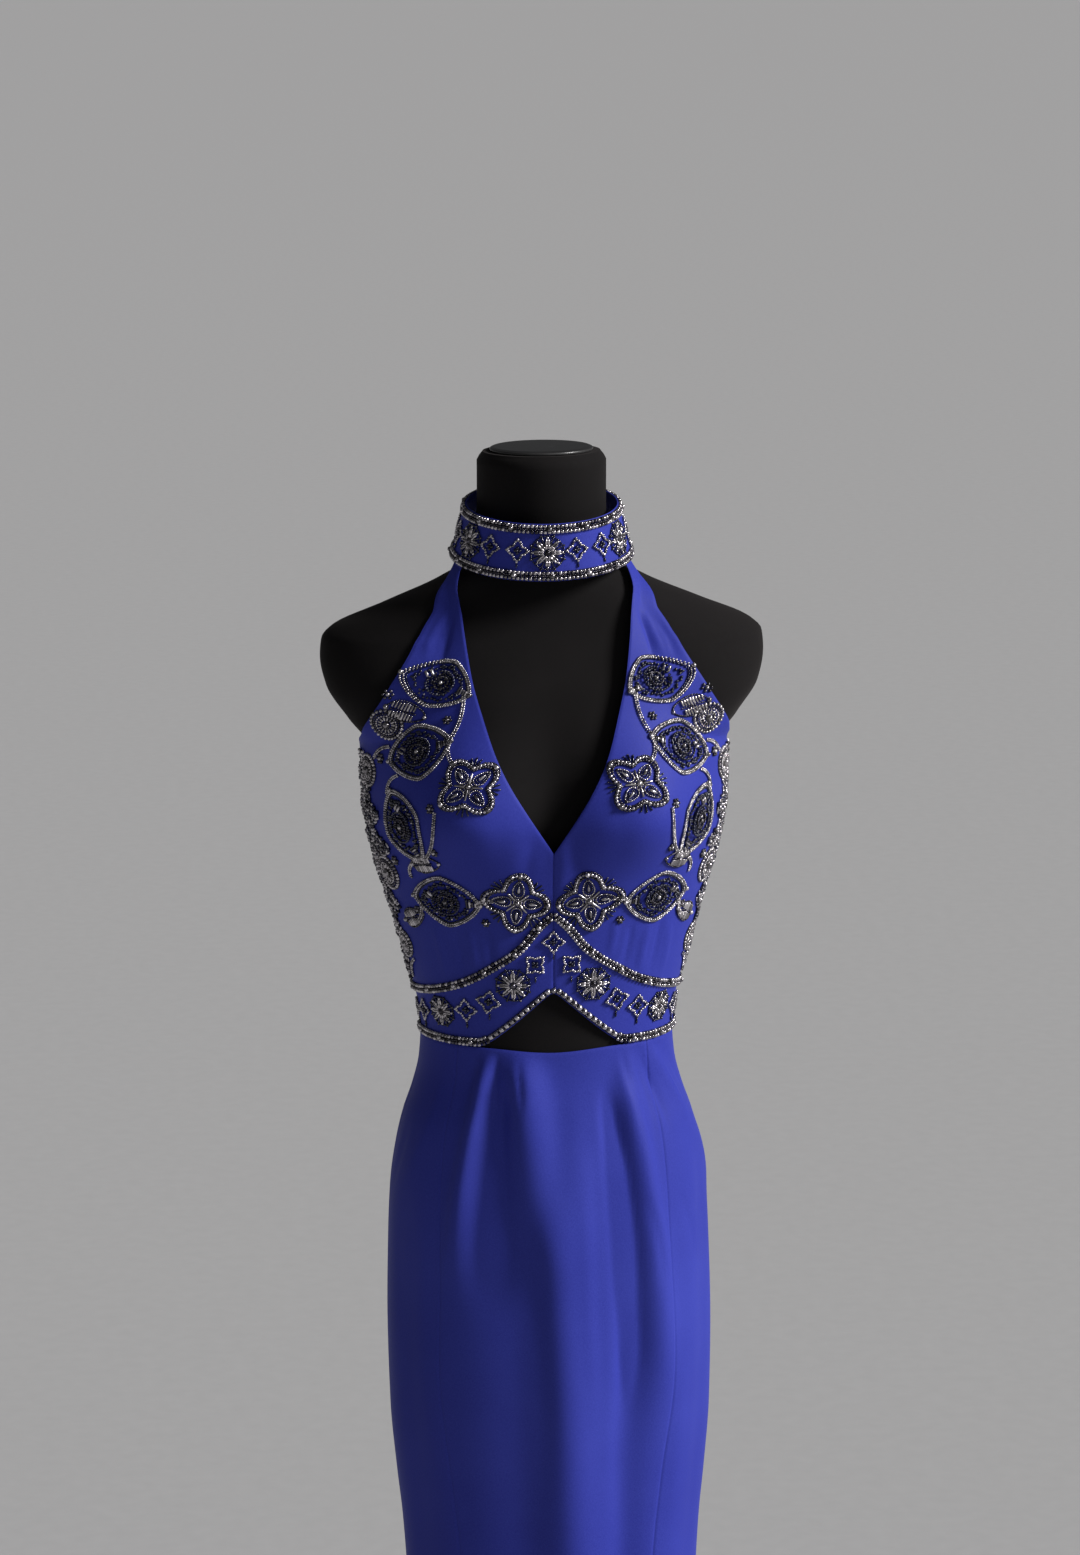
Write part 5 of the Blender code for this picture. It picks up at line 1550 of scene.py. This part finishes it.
def side_band(b):
    """Crystals packed along the side, leaving room for the motifs."""
    middle = table_curve(SIDE_BAND, "z", "angle_deg")
    half = table_curve(SIDE_BAND, "z", "half_width")
    bottom, top = SIDE_BAND[0].z, SIDE_BAND[-1].z
    angles, levels = [], []
    for k, z in enumerate(np.arange(bottom, top, SIDE_PITCH * ROW_SHARE)):
        radius = float(dress_radius(math.radians(SIDE_RADIUS_DEG), z))
        reach = float(half(z)) * (SIDE_FULL + SIDE_SWING * math.sin(z * SIDE_WAVES))
        count = max(1, int(2 * reach / SIDE_PITCH))
        across = (np.arange(count) - (count - 1) / 2 + 0.5 * (k % 2)) * SIDE_PITCH
        angles += list(math.radians(float(middle(z))) + across / radius)
        levels += [z] * count
    angles, levels = np.array(angles), np.array(levels)
    shake = b.random.uniform(-1, 1, (3, len(angles)))
    angles = angles + shake[0] * SIDE_SHAKE / BODICE_RADIUS
    levels = levels + shake[1] * SIDE_SHAKE
    scallop = np.abs(np.sin((levels - bottom) * math.pi / SCALLOP))
    free = np.degrees(angles) < SCALLOP_START_DEG + SCALLOP_REACH_DEG * scallop
    for m in BODICE_MOTIFS:
        centre = math.radians(m.angle_deg)
        across = (angles - centre) * dress_radius(centre, m.z)
        u, v = turned(across, (levels - m.z) / BODICE_UPRIGHT, -math.radians(m.turn_deg))
        away = leaf_share(m.size, u, v) if m.kind == "leaf" else np.hypot(u, v) / m.size
        free &= away > MOTIF_ROOM
    angles, levels, heading = angles[free], levels[free], shake[2][free] * LOOSE_TURN
    kind = b.random.integers(0, 12, len(angles))
    size = b.random.uniform(*SIDE_SIZES, len(angles))
    for f in SIDE_FILLINGS:
        mine = np.isin(kind, f.picks)
        b.add(f.shape, f.finish, angles[mine] * BODICE_RADIUS, levels[mine], heading[mine],
              f.length * size[mine], f.width * size[mine], f.width * SIDE_HEIGHT * size[mine])


def strands(b):
    """The strands, each of two rows of seeds side by side."""
    for s in STRANDS:
        start = math.radians(s.deg_a)
        radius = float(dress_radius(start, s.z_a))
        run, rise = math.radians(s.deg_b - s.deg_a) * radius, s.z_b - s.z_a
        length = math.hypot(run, rise)
        t = np.linspace(0, 1, STRAND_POINTS)
        for row in (-STRAND_HALF, STRAND_HALF):
            bow = s.bow * 4 * t * (1 - t) + row
            u = t * run - bow * rise / length
            v = t * rise + bow * run / length
            line = np.stack([start * radius + u, s.z_a + v], axis=-1)
            at, up, heading = walk(line, STRAND_PITCH)
            b.add("seed", CRYSTAL, at / radius * BODICE_RADIUS, up, heading, *[STRAND_BEAD] * 3)


def collar_lozenges(b):
    radius = between(*COLLAR_WIDE, 0.5)
    for angle_deg in COLLAR_LOZENGES_DEG:
        for side in (1, -1):
            u = side * math.radians(angle_deg) * radius
            lozenge(b, LOZENGE_SIZE, 0.0, u, COLLAR_LOZENGE_RISE)
            hanging_drop(b, u, -LOZENGE_SIZE - COLLAR_DROP_BELOW)


DRAW = {
    "star": star,
    "leaf": leaf,
    "rosette": rosette,
    "burst": burst,
    "ladder": ladder,
    "floret": floret,
    "lozenge": hung_lozenge,
}


def make_beadwork(finishes):
    def lay(name, seed, place, nodes, draw, *sizes):
        """One drawing, as a piece of its own."""
        b = Beads(seed)
        draw(b, *sizes)
        b.build(f"beads_{name}", place, finishes, nodes)

    for number, (side, word) in enumerate(SIDES):
        for k, m in enumerate(BODICE_MOTIFS):
            place = dress_place(m.angle_deg, m.z, m.turn_deg, side)
            name = f"{m.kind}_{m.word}_{word}"
            lay(name, 100 * number + k, place, [name], DRAW[m.kind], m.size)
        for k, m in enumerate(SMALL_MOTIFS):
            place = dress_place(m.angle_deg, m.z, 0.0, side)
            turn = math.radians(m.turn_deg)
            lay(f"{m.kind}_{k}_{word}", 300 + 20 * number + k, place, [], DRAW[m.kind], m.size, turn)
        lay(f"side_{word}", 400 + number, side_place(side), [], side_band)
        lay(f"strands_{word}", 405 + number, side_place(side), [], strands)
        place, length = seam_place(upper_seam, side)
        lay(f"seam_{word}", 410 + number, place, [f"seam_edging_{word}"], edging_row,
            EDGING_END, length - EDGING_END, EDGING_WIDTH)
        place, length = seam_place(lower_edging_line, side)
        lay(f"waist_{word}", 420 + number, place, [f"waist_edging_{word}"], waist_edging, length, side > 0)
    place = dress_place(0.0, CENTRE_LOZENGE_Z, 0.0, 1)
    lay("lozenge_centre", 500, place, [], hung_lozenge, LOZENGE_SIZE, 0.0)

    edge = EDGING_WIDTH / 2 / COLLAR_HEIGHT
    for k, (word, rise) in enumerate((("lower", edge), ("upper", 1 - edge))):
        end = math.radians(COLLAR_END_DEG) * between(*COLLAR_WIDE, rise) - COLLAR_EDGING_END
        place = collar_place(0.0, rise)
        lay(f"collar_{word}", 510 + k, place, [f"collar_edging_{word}"], edging_row, -end, end, EDGING_WIDTH)
    for k, (word, angle_deg) in enumerate(COLLAR_MOTIF_ANGLES.items()):
        name = f"collar_burst_{word}"
        lay(name, 520 + k, collar_place(angle_deg, 0.5), [name], burst, COLLAR_MOTIF_SIZE)
    lay("collar_lozenges", 530, collar_place(0.0, 0.5), [], collar_lozenges)


# Zip, buttons and their loops

# The zip's ends, and how far in its teeth and stops begin
ZIP_BOTTOM_Z = ZIP_END_Z + 0.002
ZIP_TOP_Z = BACK_TOP_Z - 0.0015
TEETH_START = 0.003
TEETH_END = 0.002
LOWER_STOP = 0.0013
UPPER_STOP = 0.0010
# Length, width and height
TOOTH = (0.0020, 0.00085, 0.00085)
TAPE_EDGE = (0.0041, 0.0011, 0.00045)
STOP = (0.0031, 0.0022, 0.0009)
TOOTH_PITCH = 0.0016
TOOTH_REACH = 0.00045
TAPE_PITCH = 0.004
TAPE_REACH = 0.00115
ZIP_BEVEL = 0.00025
# The button's dome, as (share of its radius, height) pairs from the middle over the rim to the foot
DOME = [
    (0.0, 0.0062),
    (0.30, 0.0060),
    (0.55, 0.0055),
    (0.75, 0.0046),
    (0.90, 0.0034),
    (1.0, 0.0020),
    (0.98, 0.0012),
    (0.86, 0.0008),
    (0.0, 0.0008),
]
DOME_POINTS = 40
LOOP_THICKNESS = 0.0011
# Shares of its thickness: out from the button's rim, and up from the collar
LOOP_OUT = 0.6
LOOP_UP = 0.75
# The loop's two ends on the drawing, and how far round the button it goes
LOOP_ENDS_U = [-0.0112, -0.0085]
LOOP_ENDS_V = [-0.0016, -0.0022]
LOOP_REACH = 0.72 * math.pi
LOOP_POINTS = 40


def make_zip(finish):
    """Teeth from both tapes in one another's gaps, the tapes' edges under them, and stops at both ends."""
    bottom, top = ZIP_BOTTOM_Z, ZIP_TOP_Z
    b = Beads(600)
    levels = np.arange(bottom + TEETH_START, top - TEETH_END, TOOTH_PITCH)
    for side, shift in ((-1, 0.0), (1, TOOTH_PITCH / 2)):
        b.add("bugle", 0, side * TOOTH_REACH, levels + shift, 0.0, *TOOTH, 0.0002)
    tape = np.arange(bottom, top, TAPE_PITCH) + TAPE_PITCH / 2
    for side in (-1, 1):
        b.add("square", 0, side * TAPE_REACH, tape, math.pi / 2, *TAPE_EDGE)
    b.add("square", 0, 0.0, [bottom + LOWER_STOP, top - UPPER_STOP], 0.0, *STOP)
    b.build("zip_teeth", zip_place, [finish], ["zip_chain"], "zip_metal")
    for node in ("zip_slider", "zip_pull"):
        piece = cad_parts[node]
        piece.data.materials.clear()
        piece.data.materials.append(finish)
        bevel = piece.modifiers.new("edges", "BEVEL")
        bevel.width = ZIP_BEVEL
        bevel.segments = 3
        bevel.limit_method = "ANGLE"


def make_button(word, rise, finish):
    """A dome covered with the dress's cloth, and a thread loop round its foot."""
    place = collar_place(BUTTON_DEG, rise)
    rings = []
    for share, height in DOME:
        at, normal = place(*spots(BUTTON_SIZE * share, even_turns(DOME_POINTS)))
        rings.append(at + normal * height)
    faces = [face[::-1] for face in ring_faces(len(DOME), DOME_POINTS)]
    faces = faces[DOME_POINTS:-DOME_POINTS]
    foot = (len(DOME) - 2) * DOME_POINTS
    faces.append(list(range(DOME_POINTS, 2 * DOME_POINTS)))
    faces.append(list(range(foot, foot + DOME_POINTS))[::-1])
    dome = add_mesh(f"covered_button_{word}", np.concatenate(rings), faces, finish, WALL_SMOOTH_DEG)
    declare(dome, "crepe", f"button_{word}")

    bend = np.linspace(-LOOP_REACH, LOOP_REACH, LOOP_POINTS)
    round_u, round_v = spots(BUTTON_SIZE + LOOP_THICKNESS * LOOP_OUT, bend)
    u = np.concatenate([LOOP_ENDS_U, round_u, LOOP_ENDS_U[::-1]])
    v = np.concatenate([LOOP_ENDS_V, round_v, np.negative(LOOP_ENDS_V[::-1])])
    at, normal = place(u, v)
    path = at + normal * LOOP_THICKNESS * LOOP_UP
    name = f"button_loop_{word}"
    thread = bpy.data.curves.new(name, "CURVE")
    thread.dimensions = "3D"
    thread.bevel_depth = LOOP_THICKNESS / 2
    thread.bevel_resolution = 3
    thread.use_fill_caps = True
    line = thread.splines.new("POLY")
    line.points.add(len(path) - 1)
    for spot, (x, y, z) in zip(line.points, path):
        spot.co = (x, y, z, 1)
    thread.materials.append(finish)
    declare(make_object(name, thread), "crepe")


# Finishes

CREPE_COLOURS = ((0.021, 0.028, 0.27), (0.049, 0.064, 0.42))
JERSEY_COLOURS = ((0.0036, 0.0033, 0.0035), (0.0115, 0.0100, 0.0104))
LACQUER_COLOURS = ((0.010, 0.010, 0.011), (0.075, 0.073, 0.072))
ZIP_COLOURS = ((0.022, 0.030, 0.25), (0.15, 0.17, 0.38))
FLOOR_COLOURS = ((0.455, 0.455, 0.462), (0.475, 0.475, 0.482))
BeadLook = namedtuple("BeadLook", "name dark light metallic smooth rough coat")
# In the order of CRYSTAL, GUNMETAL, NAVY and METAL
BEAD_LOOKS = [
    BeadLook("crystal_beads", (0.16, 0.15, 0.165), (0.78, 0.74, 0.77), 0.90, 0.10, 0.28, 0.0),
    BeadLook("gunmetal_beads", (0.030, 0.028, 0.034), (0.16, 0.15, 0.18), 0.90, 0.10, 0.30, 0.0),
    BeadLook("navy_glass_beads", (0.0015, 0.002, 0.009), (0.006, 0.008, 0.050), 0.10, 0.06, 0.22, 0.35),
    BeadLook("bead_cups", (0.06, 0.057, 0.058), (0.22, 0.21, 0.21), 0.95, 0.18, 0.36, 0.0),
]


class Finish:
    """A procedural material: a Principled BSDF and the nodes that feed it."""

    def __init__(self, name, **sockets):
        self.material = bpy.data.materials.new(name)
        self.material.use_nodes = True
        self.tree = self.material.node_tree
        self.shader = self.tree.nodes["Principled BSDF"]
        self.surface = None
        for socket, value in sockets.items():
            self.shader.inputs[socket.replace("_", " ")].default_value = value

    def add(self, kind, sockets=None, **settings):
        made = self.tree.nodes.new(kind)
        for key, value in settings.items():
            setattr(made, key, value)
        for key, value in (sockets or {}).items():
            self.feed(made.inputs[key], value)
        return made

    def feed(self, socket, value):
        if isinstance(value, bpy.types.NodeSocket):
            self.tree.links.new(value, socket)
        else:
            socket.default_value = value

    def place(self):
        return self.add("ShaderNodeTexCoord").outputs["Object"]

    def edge(self):
        """High on worn edges, low in corners."""
        return self.add("ShaderNodeNewGeometry").outputs["Pointiness"]

    def attribute(self, name, output):
        return self.add("ShaderNodeAttribute", attribute_name=name).outputs[output]

    def stretched(self, vector, *scale):
        return self.add("ShaderNodeMapping", {"Vector": vector, "Scale": scale}).outputs["Vector"]

    def noise(self, vector, scale=1.0, detail=2.0, roughness=0.5):
        sockets = {"Vector": vector, "Scale": scale, "Detail": detail, "Roughness": roughness}
        return self.add("ShaderNodeTexNoise", sockets).outputs["Fac"]

    def range(self, share, low, high, start, end):
        """A number between two, by a share that runs from start to end."""
        sockets = {"Value": share, "From Min": start, "From Max": end, "To Min": low, "To Max": high}
        return self.add("ShaderNodeMapRange", sockets).outputs["Result"]

    def combine(self, operation, a, b):
        made = self.add("ShaderNodeMath", operation=operation)
        self.feed(made.inputs[0], a)
        self.feed(made.inputs[1], b)
        return made.outputs[0]

    def scaled(self, value, share):
        return self.combine("MULTIPLY", value, share)

    def total(self, a, b):
        return self.combine("ADD", a, b)

    def bump(self, height, distance, strength):
        """Adds relief, its depth in metres, over any that is there."""
        made = self.add("ShaderNodeBump", {"Height": height, "Distance": distance, "Strength": strength})
        if self.surface:
            self.feed(made.inputs["Normal"], self.surface)
        self.surface = made.outputs["Normal"]
        self.feed(self.shader.inputs["Normal"], self.surface)

    def base(self, share, colours, start, end):
        """A colour between two, by a share that runs from start to end."""
        ramp = self.add("ShaderNodeValToRGB", {"Fac": share})
        for stop, position, colour in zip(ramp.color_ramp.elements, (start, end), colours):
            stop.position = position
            stop.color = (*colour, 1.0)
        self.feed(self.shader.inputs["Base Color"], ramp.outputs["Color"])

    def rough(self, value):
        self.feed(self.shader.inputs["Roughness"], value)


def crepe_finish():
    """Heavy royal blue crepe: a pebbled weave with crossing threads, a soft bloom and uneven dye."""
    f = Finish("royal_blue_crepe", Sheen_Weight=0.10, Sheen_Roughness=0.40,
               Sheen_Tint=(0.16, 0.20, 1.0, 1.0), Specular_IOR_Level=0.12)
    weave = f.attribute("weave", "Vector")
    warp = f.noise(f.stretched(weave, 1700.0, 520.0, 1.0))
    weft = f.noise(f.stretched(weave, 520.0, 1700.0, 1.0))
    pebble = f.noise(f.place(), 620.0, 3.0, 0.6)
    cloud = f.noise(f.place(), 7.0, 3.0)
    slub = f.noise(f.stretched(weave, 60.0, 900.0, 1.0), detail=1.0)
    grain = f.total(f.combine("MULTIPLY", warp, weft), f.scaled(pebble, 0.5))
    f.base(f.total(f.scaled(cloud, 0.55), f.scaled(grain, 0.75)), CREPE_COLOURS, 0.35, 1.05)
    f.rough(f.range(pebble, 0.50, 0.66, 0.3, 0.7))
    f.bump(cloud, 0.0008, 0.5)
    f.bump(slub, 0.00006, 0.6)
    f.bump(grain, 0.00010, 0.8)
    return f.material


def jersey_finish():
    """The form's black jersey: a fine knit with some lint and a soft fuzz."""
    f = Finish("black_jersey", Sheen_Weight=0.05, Sheen_Roughness=0.5,
               Sheen_Tint=(0.8, 0.72, 0.72, 1.0), Specular_IOR_Level=0.12)
    ribs = f.noise(f.stretched(f.place(), 1500.0, 1500.0, 420.0))
    lint = f.noise(f.place(), 260.0, 4.0, 0.7)
    cloud = f.noise(f.place(), 9.0, 3.0)
    f.base(f.total(f.scaled(cloud, 0.6), f.scaled(lint, 0.5)), JERSEY_COLOURS, 0.35, 0.85)
    f.rough(f.range(lint, 0.78, 0.95, 0.3, 0.7))
    f.bump(cloud, 0.0006, 0.4)
    f.bump(ribs, 0.00010, 0.7)
    return f.material


def lacquer_finish():
    """Black satin lacquer: slight orange peel, dust, and edges rubbed a little lighter."""
    f = Finish("black_lacquer", Metallic=0.0, Coat_Weight=0.35, Coat_Roughness=0.25, Specular_IOR_Level=0.5)
    smudge = f.noise(f.place(), 24.0, 4.0, 0.6)
    worn = f.total(f.range(f.edge(), 0.0, 0.9, 0.51, 0.60), f.scaled(smudge, 0.35))
    f.base(worn, LACQUER_COLOURS, 0.15, 1.2)
    f.rough(f.range(smudge, 0.26, 0.46, 0.35, 0.7))
    f.bump(f.noise(f.place(), 420.0), 0.00004, 0.6)
    return f.material


def zip_finish():
    """Zip teeth and slider: blue paint over metal, rubbed through on the edges."""
    f = Finish("blue_zip_metal", Coat_Weight=0.2, Coat_Roughness=0.2)
    scuff = f.noise(f.place(), 900.0, 3.0, 0.6)
    worn = f.total(f.range(f.edge(), 0.0, 0.5, 0.52, 0.62), f.scaled(scuff, 0.55))
    f.base(worn, ZIP_COLOURS, 0.35, 1.10)
    f.feed(f.shader.inputs["Metallic"], f.range(worn, 0.35, 0.9, 0.4, 1.0))
    f.rough(f.range(f.noise(f.place(), 160.0, 3.0), 0.18, 0.34, 0.3, 0.7))
    f.bump(scuff, 0.00003, 0.3)
    return f.material


def bead_finish(look):
    """Glass or metal beads, each a little lighter or darker than the next."""
    f = Finish(look.name, Metallic=look.metallic, Coat_Weight=look.coat, Coat_Roughness=0.06,
               Specular_IOR_Level=0.6)
    tone = f.attribute("tone", "Fac")
    film = f.noise(f.place(), 700.0)
    f.base(f.total(f.scaled(tone, 0.8), f.scaled(film, 0.3)), (look.dark, look.light), 0.1, 1.0)
    f.rough(f.range(f.total(tone, film), look.smooth, look.rough, 0.4, 1.5))
    f.bump(film, 0.00003, 0.4)
    return f.material


# Stage, lights and camera

FLOOR_RADIUS = 80.0
FLOOR_POINTS = 96
FLOOR_GAP = 0.0002
# Distant soft lamps, their azimuth from the front towards the viewer's right
Lamp = namedtuple("Lamp", "name azimuth_deg elevation_deg spread_deg strength colour")
LAMPS = [
    Lamp("key", 71.0, 31.0, 18.0, 4.3, (1.0, 0.985, 0.97)),
    Lamp("fill", 28.0, 24.0, 40.0, 0.20, (0.95, 0.97, 1.0)),
]
LAMP_DISTANCE = 4
SKY_COLOUR = (0.84, 0.85, 0.87, 1.0)
SKY_STRENGTH = 0.08
TARGET = Vector((-0.00335, 0.0, 1.256))
DISTANCE = 4.2
AZIMUTH_DEG = -4.0
ELEVATION_DEG = 11.0
ROLL_DEG = -0.55
LENS_MM = 113.06
SENSOR_MM = 36.0


def direction(azimuth_deg, elevation_deg):
    """The way from the target to a lamp or the camera."""
    azimuth, elevation = math.radians(azimuth_deg), math.radians(elevation_deg)
    level = math.cos(elevation)
    return Vector((math.sin(azimuth) * level, -math.cos(azimuth) * level, math.sin(elevation)))


def make_floor():
    f = Finish("pale_floor", Roughness=0.75)
    f.base(f.noise(f.place(), 40.0, 3.0), FLOOR_COLOURS, 0.3, 0.7)
    z = cad_low[2] - FLOOR_GAP
    turns = even_turns(FLOOR_POINTS)
    points = [(FLOOR_RADIUS * math.cos(t), FLOOR_RADIUS * math.sin(t), z) for t in turns]
    floor = add_mesh("studio_floor", points, [list(range(FLOOR_POINTS))], f.material)


def make_lamps():
    for lamp in LAMPS:
        data = bpy.data.lights.new(lamp.name, "SUN")
        data.angle = math.radians(lamp.spread_deg)
        data.energy = lamp.strength
        data.color = lamp.colour
        towards = direction(lamp.azimuth_deg, lamp.elevation_deg)
        obj = make_object(lamp.name, data)
        obj.location = towards * LAMP_DISTANCE
        obj.rotation_euler = towards.to_track_quat("Z", "Y").to_euler()
    world = bpy.data.worlds.new("studio")
    world.use_nodes = True
    sky = world.node_tree.nodes["Background"]
    sky.inputs["Color"].default_value = SKY_COLOUR
    sky.inputs["Strength"].default_value = SKY_STRENGTH
    bpy.context.scene.world = world
    bpy.context.scene.view_settings.view_transform = "Standard"


def make_camera():
    azimuth, roll = math.radians(AZIMUTH_DEG), math.radians(ROLL_DEG)
    back = direction(AZIMUTH_DEG, ELEVATION_DEG)
    right = Vector((math.cos(azimuth), math.sin(azimuth), 0.0))
    up = back.cross(right)
    rolled_right = right * math.cos(roll) + up * math.sin(roll)
    rolled_up = up * math.cos(roll) - right * math.sin(roll)
    data = bpy.data.cameras.new("photo_camera")
    data.lens = LENS_MM
    data.sensor_width = SENSOR_MM
    camera = make_object("photo_camera", data)
    turn = Matrix((rolled_right, rolled_up, back)).transposed()
    camera.matrix_world = Matrix.Translation(TARGET + back * DISTANCE) @ turn.to_4x4()
    bpy.context.scene.camera = camera


def main():
    crepe = crepe_finish()
    make_cloth(crepe)
    make_torso(jersey_finish())
    make_stand(lacquer_finish())
    make_beadwork([bead_finish(look) for look in BEAD_LOOKS])
    make_zip(zip_finish())
    for word, rise in BUTTON_RISES.items():
        make_button(word, rise, crepe)
    make_floor()
    make_lamps()
    make_camera()


main()
